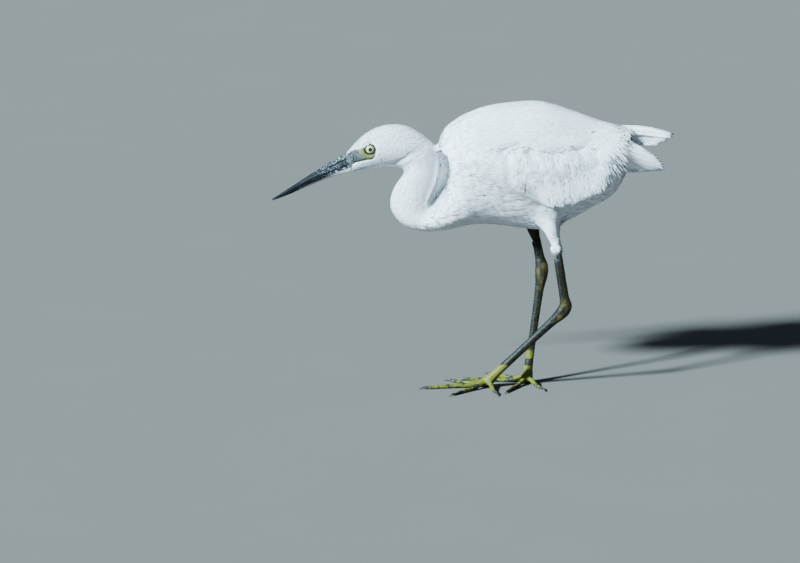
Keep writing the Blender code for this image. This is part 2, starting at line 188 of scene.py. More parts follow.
# The pieces of the coat: name, the nodes it grows on, its kind of strand, how many, and which half.
COAT = [
    ("coat_head", "head", "short", 15000, ""),
    ("coat_neck", "neck_upper", "short", 9000, ""),
    ("coat_neck_bend", "neck_middle", "short", 9000, ""),
    ("coat_neck_base", "neck_lower", "long", 9000, ""),
    ("coat_mantle_left", "trunk", "long", 9500, "upper left"),
    ("coat_mantle_right", "trunk", "long", 9500, "upper right"),
    ("coat_belly_left", "trunk", "long", 7000, "lower left"),
    ("coat_belly_right", "trunk", "long", 7000, "lower right"),
    ("coat_wing_left", "wing_left", "long", 11000, ""),
    ("coat_wing_right", "wing_right", "long", 11000, ""),
    ("coat_thigh_left", "thigh_left", "short", 4000, ""),
    ("coat_thigh_right", "thigh_right", "short", 4000, ""),
]

HORN_END = -0.1085  # where the bill's horny skin gives way to the green lore
GAPE_STRIPE = [(-0.1060, 0.2372), (-0.1020, 0.2382), (-0.0990, 0.2405)]
GAPE_LINE = [(-0.1190, 0.2302), (-0.1107, 0.2340), (-0.1056, 0.2362), (-0.1000, 0.2362)]
WORN_SHANK = (0.128, 0.149)  # the near shank has worn down between these heights
EYE_RIM = (5.9 * MM, 7.1 * MM)
# How high the yellow reaches up each tarsus, and the dark rings in it.
YELLOW_TOP = {"left": (0.0245, []), "right": (0.0335, [(0.0185, 0.0255)])}

# Marks of the bill in side view, as (x, z).
NOSTRIL = [(-0.1290, 0.2318), (-0.1350, 0.2292), (-0.1412, 0.2255)]
GROOVE = [(-0.1412, 0.2255), (-0.1610, 0.2150), (-0.1840, 0.2020)]
CUTTING_EDGE = [
    (-0.1760, 0.2047), (-0.1664, 0.2113), (-0.1498, 0.2172), (-0.1460, 0.2191), (-0.1313, 0.2257),
    (-0.1153, 0.2323),
]
ROOT_FADE = {"bill_upper": (-0.168, -0.130), "bill_lower": (-0.160, -0.130)}
PALE_EDGE = [
    (-0.2000, 0.1840), (-0.1860, 0.1950), (-0.1727, 0.2033), (-0.1632, 0.2080), (-0.1472, 0.2152),
    (-0.1345, 0.2212), (-0.1250, 0.2245), (-0.1110, 0.2300),
]
BILL_SLOPE = math.radians(-33)
BILL_ROOT = -0.1290  # what lies behind this is moved back, so that the horn reaches into the face
BILL_REACH = (0.0030, 0.0, 0.0006)

THIN_BACK = (0.120, 0.143)  # the soft coat of a wing gives way to the long feathers between these places

# The long feathers at the back of a closed wing, from the uppermost down: root and tip as (x, z).
TIP_START = 0.5
WING_VANES = 18
VANE_ROOTS = [(0.1160, 0.2645), (0.1220, 0.2540), (0.1260, 0.2440), (0.1280, 0.2320)]
VANE_TIPS = [
    (0.1740, 0.2430), (0.1830, 0.2375), (0.1890, 0.2300), (0.1908, 0.2236), (0.1850, 0.2226),
    (0.1760, 0.2222), (0.1660, 0.2220), (0.1560, 0.2224),
]
FAR_WING_ROOTS, FAR_WING_TIPS = (0.0, -0.0035), (-0.009, -0.0065)  # how the right wing's feathers differ
VANE_BOW = 3.5 * MM
VANE_ROWS = 26
VANE_SUNK = 4.0 * MM  # how deep a root lies under the soft coat
VANE_SPACING = 0.3 * MM
ACROSS = np.array([-1, -0.7, -0.4, -0.12, 0, 0.12, 0.4, 0.7, 1.0])  # the points across a feather

TAIL_FEATHERS = 12
TAIL_ROOT, TAIL_TIP = 0.128, 0.2010
TAIL_TOP = 0.2654

NOISE_ROUGHNESS = 0.55
SUN_ENERGY = 23.5
SUN_FROM = (-0.78, -0.56, 0.60)
SUN_COLOUR = (0.61, 0.855, 1.0)
SUN_WIDTH = math.radians(7)
SKY_COLOUR = (0.45, 0.72, 1.0, 1.0)
SKY_STRENGTH = 0.18
FLOOR_COLOURS = (0.106, 0.093, 0.082), (0.115, 0.101, 0.089)


def camera():
    tilt = VIEW_PITCH
    forward = Vector((0.0, math.cos(tilt), -math.sin(tilt)))
    upward = Vector((0.0, math.sin(tilt), math.cos(tilt)))
    lens = bpy.data.cameras.new("camera")
    lens.sensor_width = SENSOR_WIDTH
    lens.lens = SENSOR_WIDTH * VIEW_DISTANCE / FRAME_WIDTH
    lens.clip_start, lens.clip_end = 0.1, 50.0
    view = bpy.data.objects.new("camera", lens)
    bpy.context.scene.collection.objects.link(view)
    view.location = Vector((AIM[0], 0.0, 0.0)) + upward * AIM[1] - forward * VIEW_DISTANCE
    view.rotation_euler = (math.pi / 2 - tilt, 0.0, 0.0)
    bpy.context.scene.camera = view


class Value:
    """A number socket of a shader, on which Python's operators add Math nodes."""

    def __init__(self, paint, socket):
        self.paint, self.socket = paint, socket

    def _math(self, operation, *others, swap=False):
        terms = [self, *others]
        if swap:
            terms.reverse()
        return self.paint.node("ShaderNodeMath", {"operation": operation}, dict(enumerate(terms)))

    def __add__(self, other):
        return self._math("ADD", other)

    def __mul__(self, other):
        return self._math("MULTIPLY", other)

    def __sub__(self, other):
        return self._math("SUBTRACT", other)

    def __rsub__(self, other):
        return self._math("SUBTRACT", other, swap=True)

    __radd__ = __add__
    __rmul__ = __mul__

    def wave(self):
        return self._math("SINE")

    def rise(self, low, high):
        """0 below low and 1 above high, with a soft step between them."""
        settings = {"interpolation_type": "SMOOTHSTEP"}
        inputs = {"Value": self, "From Min": low, "From Max": high}
        return self.paint.node("ShaderNodeMapRange", settings, inputs)


class Paint:
    """A material under construction."""

    def __init__(self, name, **constants):
        self.material = bpy.data.materials.new(name)
        self.material.use_nodes = True
        self.tree = self.material.node_tree
        self.shader = self.tree.nodes["Principled BSDF"]
        for socket, value in constants.items():
            self.shader.inputs[socket.replace("_", " ")].default_value = value

    def node(self, kind, settings=None, inputs=None, output=0):
        made = self.tree.nodes.new(kind)
        for key, value in (settings or {}).items():
            setattr(made, key, value)
        for key, value in (inputs or {}).items():
            self.feed(made.inputs[key], value)
        return Value(self, made.outputs[output])

    def feed(self, socket, value):
        if isinstance(value, Value):
            self.tree.links.new(value.socket, socket)
        else:
            socket.default_value = value

    def place(self, scale=(1.0, 1.0, 1.0), spot=None):
        """Object coordinates, or those given, multiplied by a scale."""
        spot = spot or self.node("ShaderNodeTexCoord", output=3)
        return self.node("ShaderNodeMapping", None, {"Vector": spot, "Scale": scale})

    def attribute(self, name):
        return self.node("ShaderNodeAttribute", {"attribute_name": name}, output=2)

    def noise(self, scale, detail=3.0, spot=None):
        spot = spot or self.place()
        inputs = {"Vector": spot, "Scale": scale, "Detail": detail, "Roughness": NOISE_ROUGHNESS}
        return self.node("ShaderNodeTexNoise", None, inputs)

    def mix(self, share, first, second):
        inputs = {0: share, 6: rgba(first), 7: rgba(second)}
        return self.node("ShaderNodeMix", {"data_type": "RGBA"}, inputs, output=2)

    def bump(self, height, strength, distance):
        inputs = {"Height": height, "Strength": strength, "Distance": distance}
        self.feed(self.shader.inputs["Normal"], self.node("ShaderNodeBump", None, inputs))

    def finish(self, **sockets):
        for socket, value in sockets.items():
            self.feed(self.shader.inputs[socket.replace("_", " ")], value)
        return self.material


def rgba(colour):
    return colour if isinstance(colour, Value) else (*colour, 1.0)


def new_object(name, mesh, finish=None, smooth=True):
    piece = bpy.data.objects.new(name, mesh)
    bpy.context.scene.collection.objects.link(piece)
    if finish:
        mesh.materials.clear()
        mesh.materials.append(finish)
    if smooth:
        mesh.shade_smooth()
    return piece


def modelled(name, bm):
    mesh = bpy.data.meshes.new(name)
    bm.to_mesh(mesh)
    bm.free()
    return mesh


def modified(mesh, *modifiers):
    """A mesh with modifiers applied, each given as (kind, settings)."""
    holder = bpy.data.objects.new("holder", mesh)
    bpy.context.scene.collection.objects.link(holder)
    for kind, settings in modifiers:
        modifier = holder.modifiers.new(kind, kind)
        for key, value in settings.items():
            setattr(modifier, key, value)
    graph = bpy.context.evaluated_depsgraph_get()
    result = bpy.data.meshes.new_from_object(holder.evaluated_get(graph))
    bpy.data.objects.remove(holder)
    return result


def merged(nodes):
    """One bmesh of the named CAD nodes, with their loose triangles joined up."""
    bm = bmesh.new()
    for node in nodes:
        bm.from_mesh(NODES[node].data)
    bmesh.ops.remove_doubles(bm, verts=bm.verts, dist=1e-6)
    return bm


def swell(bm, amount):
    bm.normal_update()
    for vert, normal in [(vert, vert.normal.copy()) for vert in bm.verts]:
        vert.co += normal * amount


def read_array(items, name, width, kind=np.float32):
    """A property of each item of a collection, as the rows of an array."""
    values = np.empty(len(items) * width, kind)
    items.foreach_get(name, values)
    return values.reshape(-1, width)


def points_of(mesh):
    return read_array(mesh.vertices, "co", 3).astype(float)


def normals_of(mesh):
    return read_array(mesh.vertex_normals, "vector", 3).astype(float)


def edges_of(mesh):
    return read_array(mesh.edges, "vertices", 2, np.int32)


def triangles_of(mesh):
    mesh.calc_loop_triangles()
    return read_array(mesh.loop_triangles, "vertices", 3, np.int32)


def put_points(mesh, points):
    mesh.vertices.foreach_set("co", points.astype(np.float32).ravel())
    mesh.update()


def unit(vectors):
    return vectors / np.maximum(np.linalg.norm(vectors, axis=-1, keepdims=True), 1e-12)


def soft_step(values, low, high):
    """0 below low and 1 above high, with a soft step between them."""
    share = np.clip((values - low) / (high - low), 0.0, 1.0)
    return share * share * (3 - 2 * share)


def soft_fall(values, low, high):
    """1 below low and 0 above high."""
    return soft_step(-values, -high, -low)


def height_of(line, x):
    """How high a line of (x, z) runs at each x."""
    line_x, line_z = np.array(line).T
    return np.interp(x, line_x, line_z)


def averaged(values, edges, rounds):
    """Values at vertices, each evened out with its neighbours' a number of times."""
    count = len(values)
    flat = values.reshape(count, -1)
    degree = np.bincount(edges.ravel(), minlength=count).astype(float)[:, None]
    for _ in range(rounds):
        total = np.zeros_like(flat)
        for column in range(flat.shape[1]):
            data = flat[:, column]
            total[:, column] += np.bincount(edges[:, 0], data[edges[:, 1]], count)
            total[:, column] += np.bincount(edges[:, 1], data[edges[:, 0]], count)
        flat = 0.5 * flat + 0.5 * total / np.maximum(degree, 1)
    return flat.reshape(values.shape)


def inside(outline, x, z):
    """Whether points lie inside a closed outline, by counting the edges to one side of them."""
    found = np.zeros(len(x), bool)
    for (x0, z0), (x1, z1) in zip(outline, outline[1:] + outline[:1]):
        crosses = (z0 > z) != (z1 > z)
        with np.errstate(divide="ignore", invalid="ignore"):
            reach = x0 + (x1 - x0) * (z - z0) / (z1 - z0 if z1 != z0 else 1e-12)
        found ^= crosses & (x < reach)
    return found


def set_attributes(mesh, **attributes):
    for name, values in attributes.items():
        layer = mesh.attributes.new(name, "FLOAT", "POINT")
        layer.data.foreach_set("value", values.astype(np.float32))


def trait_of(node, trait):
    """A trait of the coat on a node, in metres."""
    row = COAT_ON.get(node) or COAT_ON[node.rsplit("_", 1)[0]]
    return row[TRAITS.index(trait)] * MM


class Surface:
    """A mesh as arrays, with a search tree for the nearest point on it."""

    def __init__(self, mesh):
        self.triangles = triangles_of(mesh)
        self.points = points_of(mesh)
        self.normals = normals_of(mesh)
        self.edges = edges_of(mesh)
        first, second, third = (self.points[self.triangles[:, i]] for i in range(3))
        self.areas = np.linalg.norm(np.cross(second - first, third - first), axis=1) / 2
        self.tree = BVHTree.FromPolygons(self.points.tolist(), self.triangles.tolist())

    def nearest(self, places):
        """The nearest points of the surface, their triangles and their shares of its corners."""
        found = [self.tree.find_nearest(place) for place in places.tolist()]
        points = np.array([hit[0] for hit in found])
        faces = np.array([hit[2] for hit in found])
        return points, faces, self.shares(points, faces)

    def shares(self, points, faces):
        first, second, third = (self.points[self.triangles[faces, i]] for i in range(3))
        along, across, out = second - first, third - first, points - first
        aa, ab, bb = (along * along).sum(1), (along * across).sum(1), (across * across).sum(1)
        oa, ob = (out * along).sum(1), (out * across).sum(1)
        scale = np.maximum(aa * bb - ab * ab, 1e-24)
        v, w = (bb * oa - ab * ob) / scale, (aa * ob - ab * oa) / scale
        return np.clip(np.stack([1 - v - w, v, w], 1), 0, 1)

    def read(self, values, faces, shares):
        """Values held at the vertices, read between them."""
        corners = values[self.triangles[faces]]
        weights = shares if values.ndim == 1 else shares[:, :, None]
        return (corners * weights).sum(1)

    def scatter(self, chance, count, rng):
        """Random places, thicker where chance is larger."""
        weight = self.areas * chance[self.triangles].mean(1)
        faces = rng.choice(len(weight), count, p=weight / weight.sum())
        cuts = np.sort(rng.random((count, 2)), axis=1)
        shares = np.stack([cuts[:, 0], cuts[:, 1] - cuts[:, 0], 1 - cuts[:, 1]], 1)
        return self.read(self.points, faces, shares), faces, shares


def nearest_node(nodes, places):
    """For each place, the number of the node in the list that it lies nearest to."""
    points, faces, owners = [], [], []
    for number, node in enumerate(nodes):
        triangles = triangles_of(NODES[node].data) + len(points)
        points += points_of(NODES[node].data).tolist()
        faces += triangles.tolist()
        owners += [number] * len(triangles)
    tree = BVHTree.FromPolygons(points, faces)
    return np.array([owners[tree.find_nearest(place)[2]] for place in places.tolist()])


def wing_stump(side):
    """The fleshy front of a folded wing, without the part that is only feathers."""
    bm = merged([f"wing_{side}"])
    geometry = bm.verts[:] + bm.edges[:] + bm.faces[:]
    bmesh.ops.bisect_plane(
        bm, geom=geometry, plane_co=(WING_FLESH_END, 0, 0), plane_no=(1, 0, 0), clear_outer=True
    )
    bmesh.ops.holes_fill(bm, edges=[edge for edge in bm.edges if edge.is_boundary], sides=0)
    return modelled("wing stump", bm)


def add_ball(bm, centre, radii):
    spread = Matrix.Translation(centre) @ Matrix.Diagonal((*radii, 1.0))
    bmesh.ops.create_uvsphere(bm, u_segments=24, v_segments=16, radius=1.0, matrix=spread)


def lattice_noise(points, scale, seed):
    """Smooth noise about 0 in three dimensions, with bumps about scale across."""
    size = 48
    lattice = np.random.default_rng(seed).standard_normal((size, size, size))
    cell = points / scale + size / 2
    base = np.floor(cell).astype(int)
    part = cell - base
    part = part * part * (3 - 2 * part)
    total = np.zeros(len(points))
    for corner in np.ndindex(2, 2, 2):
        spot = (base + corner) % size
        weight = np.prod(np.where(np.array(corner) == 1, part, 1 - part), axis=1)
        total += weight * lattice[spot[:, 0], spot[:, 1], spot[:, 2]]
    return total


def fold_below(points, line, near, far):
    """How deep in a fold points lie: 0 above a line of (x, z), 1 just under it, fading further down."""
    x = points[:, 0]
    under = height_of(line, x) - points[:, 2]
    ends = soft_step(x, line[0][0], line[0][0] + 10 * MM) * soft_fall(x, line[-1][0] - 10 * MM, line[-1][0])
    return soft_step(under, -near, near) * (1 - soft_step(under, near, far)) * ends


def near_line(points, line, width):
    """1 on a line of (x, z) in side view, falling to 0 at width from it."""
    gap = np.full(len(points), 1.0)
    spots = points[:, [0, 2]]
    for start, end in zip(np.array(line), np.array(line)[1:]):
        way = end - start
        share = np.clip(((spots - start) @ way) / (way @ way), 0, 1)[:, None]
        gap = np.minimum(gap, np.linalg.norm(spots - start - share * way, axis=1))
    return 1 - soft_step(gap, 0, width)


def neck_furrow(points):
    """1 in the furrow behind the neck, which narrows downwards, and 0 beside it."""
    width = (6 + 5 * soft_step(points[:, 2], 0.188, 0.206)) * MM
    return soft_step(near_line(points, NECK_FOLD, width), 0.35, 0.65)


def bare_face(points):
    """1 on the bare skin of the face and 0 under feathers, which run down the ridge of the forehead."""
    x, y, z = points.T
    ridge = (x > BILL_ROOT) & (np.abs(y) < 2.5 * MM) & (z > 0.234)
    return (inside(FACE, x, z) & ~ridge).astype(float)


def in_box(point, low, high):
    return all(a < b < c for a, b, c in zip(low, (point.x, abs(point.y), point.z), high))


def solid_body():
    """The parts of the body swollen and joined over their thin cuts, and finer where FINER says."""
    bm = merged([*CORE, *THIGHS])
    for side in SIDES:
        bm.from_mesh(wing_stump(side))
    add_ball(bm, *BEHIND_NECK)
    swell(bm, CLOSE_GAPS)
    mesh = modified(modelled("body", bm), ("REMESH", {"mode": "VOXEL", "voxel_size": BODY_VOXEL}))
    bm = bmesh.new()
    bm.from_mesh(mesh)
    for low, high in FINER:
        edges = [edge for edge in bm.edges if all(in_box(vert.co, low, high) for vert in edge.verts)]
        bmesh.ops.subdivide_edges(bm, edges=edges, cuts=1, use_grid_fill=True)
    bmesh.ops.triangulate(bm, faces=[face for face in bm.faces if len(face.verts) > 4])
    return modelled("body", bm)


def coat_depth(points, label, edges):
    """How deep the skin lies under each point of the body's surface."""
    depth = averaged(np.array([trait_of(node, "depth") for node in COATED])[label], edges, 25)
    depth *= 1 - averaged(bare_face(points), edges, 2)
    thigh = label >= COATED.index("thigh_left")
    depth *= 1 - THIGH_THINNING * thigh * soft_fall(points[:, 2], *LOW_THIGH)
    depth = averaged(depth, edges, 2)
    wing = np.isin(label, [COATED.index(node) for node in WINGS])
    depth -= WING_BACK_LIFT * averaged(wing * soft_step(points[:, 0], *WING_BACK), edges, 6)
    jaw = near_line(points, JAW_FOLD, JAW_CREASE_WIDTH) * (np.abs(points[:, 1]) > SIDE_OF_JAW)
    return depth + JAW_CREASE * averaged(jaw, edges, 1)


def body_skin():
    """The body's skin as a mesh, inside the CAD solids by the depth of the coat."""
    mesh = solid_body()
    edges = edges_of(mesh)
    put_points(mesh, averaged(points_of(mesh), edges, 4))
    points, normals = points_of(mesh), normals_of(mesh)
    z = points[:, 2]
    label = nearest_node(COATED, points)
    depth = coat_depth(points, label, edges) + CLOSE_GAPS
    inner = averaged(points - normals * depth[:, None], edges, 3)
    thigh = label >= COATED.index("thigh_left")
    haunch = averaged(thigh * soft_step(z, 0.150, 0.168), edges, 8)
    haunch = np.clip(2.2 * haunch, 0, 1) * soft_step(z, 0.150, 0.172)
    inner += haunch[:, None] * (averaged(inner, edges, 40) - inner)
    flank = (np.abs(points[:, 1]) > SIDE_OF_BODY) & (label >= COATED.index("trunk"))
    fold = averaged(fold_below(points, MANTLE_EDGE, 1.6 * MM, 16 * MM) * flank, edges, 4)
    inner -= normals * (MANTLE_FOLD * fold)[:, None]
    furrow = averaged(neck_furrow(points), edges, 1)
    bottom = np.where(inner[:, 1] < 0, *FURROW_FLOOR)
    inner[:, 1] += 0.95 * furrow * (bottom - inner[:, 1])
    inner[:, 1] *= 1 - BEAK_NARROWING * (1 - soft_step(inner[:, 0], -0.127, -0.113))
    put_points(mesh, inner)
    return mesh


def axis_of(node):
    """The middle of a node and the direction of its length, pointing away from the body."""
    points = points_of(NODES[node].data)
    middle = (points.min(0) + points.max(0)) / 2
    way = np.linalg.svd(points - points.mean(0), full_matrices=False)[2][0]
    outward = [0, 0, -1.0]
    if node.startswith("toe"):
        outward = [1.0, 0, 0] if "hind" in node else [-1.0, 0, 0]
    return middle, way * np.sign(way @ np.array(outward))


def limb_places(points, label):
    """For each point: how far along its part of the leg it lies, and its angle round it, 0 on the front."""
    along, angle = np.zeros((2, len(points)))
    for number, node in enumerate(SCALY):
        mine = label == number
        middle, way = axis_of(node)
        front = np.array([0, 0, 1.0]) if node.startswith("toe") else np.array([-1.0, 0, 0.25])
        front = unit(front - way * (front @ way))
        side = np.cross(way, front)
        out = points[mine] - middle
        along[mine] = out @ way
        angle[mine] = np.arctan2(out @ side, out @ front)
    return along, angle


def scute_relief(points, label, along, angle):
    """Height of the scales of the legs and toes, from -1 in the seams to 0 on the plates."""
    toe = np.array([node.startswith("toe") for node in SCALY])[label]
    plate = np.where(toe, 1.25, 0.95)
    pitch = np.where(toe, TOE_SCUTE, LEG_SCUTE)
    row = along / pitch
    seam = np.abs(row - np.round(row)) * pitch
    across = 1 - soft_step(seam, 0.0, 0.42 * MM)
    pebbles = 1 - soft_step(np.abs(lattice_noise(points, 1.5 * MM, 7)), 0.0, 0.35)
    edge = 1 - soft_step(np.abs(np.abs(angle) - plate), 0.0, 0.12)
    return -np.where(np.abs(angle) < plate, np.maximum(across, edge), np.maximum(0.7 * pebbles, edge))


def leg_skin():
    """Both legs below the feathers, with their feet and toes, as one scaly mesh."""
    bm = merged(SCALY)
    for side in SIDES:
        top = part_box(f"shank_{side}")[1][2]
        ring = [vert for vert in bm.verts if vert.co.z > top - 2 * MM]
        way = Vector(axis_of(f"shank_{side}")[1])
        near = [vert for vert in ring if vert.co.y * SIDES[side] > 0]
        bmesh.ops.translate(bm, verts=near, vec=-7 * MM * way)
        bmesh.ops.scale(bm, verts=near, vec=(0.8, 0.8, 1.0), space=Matrix.Translation(-centre_of(near)))
    swell(bm, CLOSE_GAPS)
    mesh = modified(modelled("legs", bm), ("REMESH", {"mode": "VOXEL", "voxel_size": LEG_VOXEL}))
    edges = edges_of(mesh)
    put_points(mesh, averaged(points_of(mesh), edges, 3))
    points, normals = points_of(mesh), normals_of(mesh)
    label = nearest_node(SCALY, points)
    along, angle = limb_places(points, label)
    relief = scute_relief(points, label, along, angle) * SCUTE_HEIGHT
    lift = relief - CLOSE_GAPS
    moved = points + normals * lift[:, None]
    moved[:, 2] = np.maximum(moved[:, 2], 0.0)
    put_points(mesh, moved)
    return mesh


def centre_of(verts):
    total = Vector()
    for vert in verts:
        total += vert.co
    return total / max(len(verts), 1)


def shape_eyelids(points):
    """Moves the skin round each eye into a raised rim that fits the eyeball, and inside it out of sight."""
    out = points.copy()
    x, y, z = EYE_SPOT
    radius = np.hypot(points[:, 0] - x, (points[:, 2] - z) * LID_SQUEEZE)
    near = (radius < LID_REACH) & (np.abs(points[:, 1]) > 5 * MM)
    gap = radius[near]
    skin = np.abs(points[near, 1])
    apart = np.hypot(points[near, 0] - x, points[near, 2] - z)
    ball = y + np.sqrt(np.maximum(EYE_RADIUS**2 - apart**2, 0))
    rim = np.sin(np.pi * np.clip((gap - LID_INNER) / (LID_OUTER - LID_INNER), 0, 1))
    lid = np.maximum(ball, skin) + LID_HEIGHT * rim
    share = 1 - soft_step(gap, LID_OUTER, LID_REACH)
    height = skin + (lid - skin) * share
    height -= 3.5 * MM * (1 - soft_step(gap, LID_INNER - 0.5 * MM, LID_INNER + 0.1 * MM))
    out[near, 1] = np.sign(points[near, 1]) * height
    return out


def whole_skin():
    """Body and legs as one closed skin."""
    body = body_skin()
    legs = new_object("legs", leg_skin())
    whole = modified(body, ("BOOLEAN", {"operation": "UNION", "object": legs, "solver": "MANIFOLD"}))
    bpy.data.objects.remove(legs)
    put_points(whole, shape_eyelids(points_of(whole)))
    return whole


class Skin(Surface):
    """The finished skin, with the lie and the look of the coat at each of its vertices."""

    def __init__(self, mesh):
        super().__init__(mesh)
        everything = [*COATED, *SCALY]
        self.label = nearest_node(everything, self.points)
        self.node = np.array(everything)[self.label]
        flank = self.on("wing") & (self.above_wing_edge() < 0)
        self.label[flank] = COATED.index("trunk")
        self.node[flank] = "trunk"
        self.coated = self.label < len(COATED)
        self.bare = bare_face(self.points)
        x, y, z = self.points.T
        thigh = self.on("thigh")
        self.height = self.spread_trait("height") * (1 - averaged(self.bare, self.edges, 3))
        self.height *= 1 - 0.75 * thigh * soft_fall(z, *LOW_THIGH)
        self.height *= 1 - 0.75 * neck_furrow(self.points)
        curtain, back_end = self.overhang()
        lip = near_line(self.points, MANTLE_EDGE, MANTLE_LIP) * (np.abs(y) > SIDE_OF_BODY)
        self.free = np.clip(curtain + back_end, 0, 1)
        calm = np.clip(self.on_mantle() + 0.6 * curtain + 0.8 * back_end, 0, 1)
        self.calm = np.maximum(calm, lip)
        hanging = curtain[:, None]
        self.flow = self.lie_of_the_coat()
        self.flow = unit(self.flow + (unit(np.array(CURTAIN_LIE)) - self.flow) * hanging)
        outward = np.stack([np.zeros_like(y), np.sign(y), np.full_like(y, CURTAIN_STAND)], 1)
        self.stand = unit(self.normals + (unit(outward) - self.normals) * hanging)
        face = soft_fall(x, -0.115, -0.075) * (z > 0.205)
        self.length = self.strand_length(face) * (1 - 0.3 * back_end) * (1 - 0.5 * lip)
        self.length += (np.minimum(self.length, self.drop_to_edge()) - self.length) * self.free
        self.width = self.spread_trait("width") * (1 - 0.25 * face)
        self.relief = self.locks() * self.spread_trait("relief") * (1 - self.bare) * (1 - 0.6 * self.calm)
        self.cover = self.height + self.relief
        self.soft_normals = self.normals_of_cover()
        self.soft_normals += (self.stand - self.soft_normals) * 0.8 * hanging

    def on(self, part):
        """Whether each vertex lies on the nodes whose names start with a part's."""
        return np.char.startswith(self.node, part)

    def strand_length(self, face):
        """How long the strands are: shorter on the face and the lower thighs, and longer at the back."""
        x, _, z = self.points.T
        thigh = self.on("thigh")
        length = self.spread_trait("length") * (1 - 0.45 * face)
        length *= 1 + 0.6 * averaged(self.on("wing") * soft_step(x, 0.075, 0.105), self.edges, 6)
        length *= 1 + 0.7 * averaged(thigh * soft_step(z, 0.165, 0.18), self.edges, 6)
        return length * (1 - 0.45 * thigh * soft_fall(z, 0.152, 0.168))

    def spread_trait(self, trait):
        """A trait's value at each vertex, passing smoothly from part to part."""
        values = np.array([trait_of(node, trait) for node in [*COATED, "thigh"]])
        return averaged(values[np.minimum(self.label, len(COATED))], self.edges, 25)

    def lie_of_the_coat(self):
        """The way feathers point at each vertex: away from the bill along the skin, and down the wings."""
        distance = self.distance_from_bill()
        first, second = self.edges[:, 0], self.edges[:, 1]
        way = self.points[second] - self.points[first]
        climb = ((distance[second] - distance[first]) / np.maximum((way * way).sum(1), 1e-12))[:, None]
        flow = np.zeros_like(self.points)
        np.add.at(flow, first, way * climb)
        np.add.at(flow, second, way * climb)
        flow = self.lying(averaged(self.lying(flow), self.edges, 20))
        x, _, z = self.points.T
        haunch = self.on("thigh") * soft_step(z, 0.168, 0.178)
        low = (self.node == "trunk") * soft_fall(z, 0.205, 0.245) + haunch
        low = averaged(low.astype(float), self.edges, 12)[:, None]
        back = self.along_skin(np.broadcast_to(BREAST_LIE, flow.shape))
        flow = self.lying(flow * (1 - low) + back * low)
        steep = np.radians(np.interp(x, *STEEPNESS))
        down = np.stack([np.cos(steep), np.zeros_like(x), -np.sin(steep)], 1)
        below = soft_step(height_of(MANTLE_EDGE, x) - z, -2 * MM, 6 * MM)
        share = self.on("wing").astype(float) * below * soft_step(x, 0.0, 0.03)
        share = averaged(share, self.edges, 12)[:, None]
        flow = self.lying(flow * (1 - share) + down * share)
        return self.lying(averaged(flow, self.edges, 6))

    def on_mantle(self):
        """1 on the mantle and the scapulars, above the fold over the closed wing, and 0 elsewhere."""
        above = self.points[:, 2] - height_of(MANTLE_EDGE, self.points[:, 0])
        body = (self.node == "trunk") | self.on("wing")
        return averaged(body * soft_step(above, -1 * MM, 3 * MM), self.edges, 3)

    def above_wing_edge(self):
        return self.points[:, 2] - height_of(WING_EDGE, self.points[:, 0])

    def overhang(self):
        """Where the coat grows straight on past an edge: 1 where it hangs like a curtain low on the wings,
        and 1 at the back of the wings and on the rump."""
        x, _, z = self.points.T
        wing = self.on("wing")
        low = 1 - soft_step(self.above_wing_edge(), *CURTAIN)
        curtain = wing * low * soft_step(x, 0.045, 0.075) * (1 - soft_step(x, 0.120, 0.145))
        rump = (self.node == "trunk") * soft_step(x, 0.118, 0.135) * soft_step(z, 0.225, 0.240)
        back_end = wing * soft_step(x, 0.112, 0.128) + rump
        return averaged(curtain, self.edges, 3), averaged(back_end, self.edges, 3)

    def drop_to_edge(self):
        """How far a strand may reach along the lie of the coat before it hangs too low under the wing."""
        steep = np.maximum(-self.flow[:, 2], 0.35)
        return np.maximum((self.above_wing_edge() + FRINGE) / steep, SHORTEST_FRINGE)

    def along_skin(self, ways):
        return ways - self.normals * (ways * self.normals).sum(1)[:, None]

    def lying(self, ways):
        """Ways turned down onto the skin, each 1 long."""
        return unit(self.along_skin(ways))

    def distance_from_bill(self):
        """Distance over the skin from the root of the bill. It can't jump from the nape to the back."""
        everything = [*COATED, *SCALY]
        rank = [RANKS.get(node.rsplit("_", 1)[0], RANKS.get(node, 6)) for node in everything]
        rank = np.array(rank)[self.label]
        kept = self.edges[np.abs(rank[self.edges[:, 0]] - rank[self.edges[:, 1]]) <= 1]
        lengths = np.linalg.norm(self.points[kept[:, 0]] - self.points[kept[:, 1]], axis=1)
        links = [[] for _ in range(len(self.points))]
        for (a, b), length in zip(kept.tolist(), lengths.tolist()):
            links[a].append((b, length))
            links[b].append((a, length))
        front = [(0.0, i) for i in np.flatnonzero(self.points[:, 0] < self.points[:, 0].min() + 2 * MM)]
        best = [math.inf] * len(self.points)
        for _, i in front:
            best[i] = 0.0
        heapq.heapify(front)
        while front:
            here, i = heapq.heappop(front)
            if here > best[i]:
                continue
            for j, length in links[i]:
                there = here + length
                if there < best[j]:
                    best[j] = there
                    heapq.heappush(front, (there, j))
        distance = np.array(best)
        reached = np.isfinite(distance)
        distance[~reached] = distance[reached].max()
        return distance

    def locks(self):
        """A relief drawn out along the lie of the coat, about 1 high, like the locks of loose plumage."""
        tree = search_tree(self.points)
        ahead, behind = (
            np.array([tree.find(place)[1] for place in (self.points + way * LOCK_STEP * self.flow).tolist()])
            for way in (1, -1)
        )
        streaks = np.zeros(len(self.points))
        for scale, reach, weight, seed in LOCKS:
            noise = lattice_noise(self.points, scale, seed)
            total = noise.copy()
            forward = backward = np.arange(len(self.points))
            for _ in range(reach):
                forward, backward = ahead[forward], behind[backward]
                total += noise[forward] + noise[backward]
            streaks += weight * total / math.sqrt(2 * reach + 1)
        return averaged(streaks, self.edges, 2)

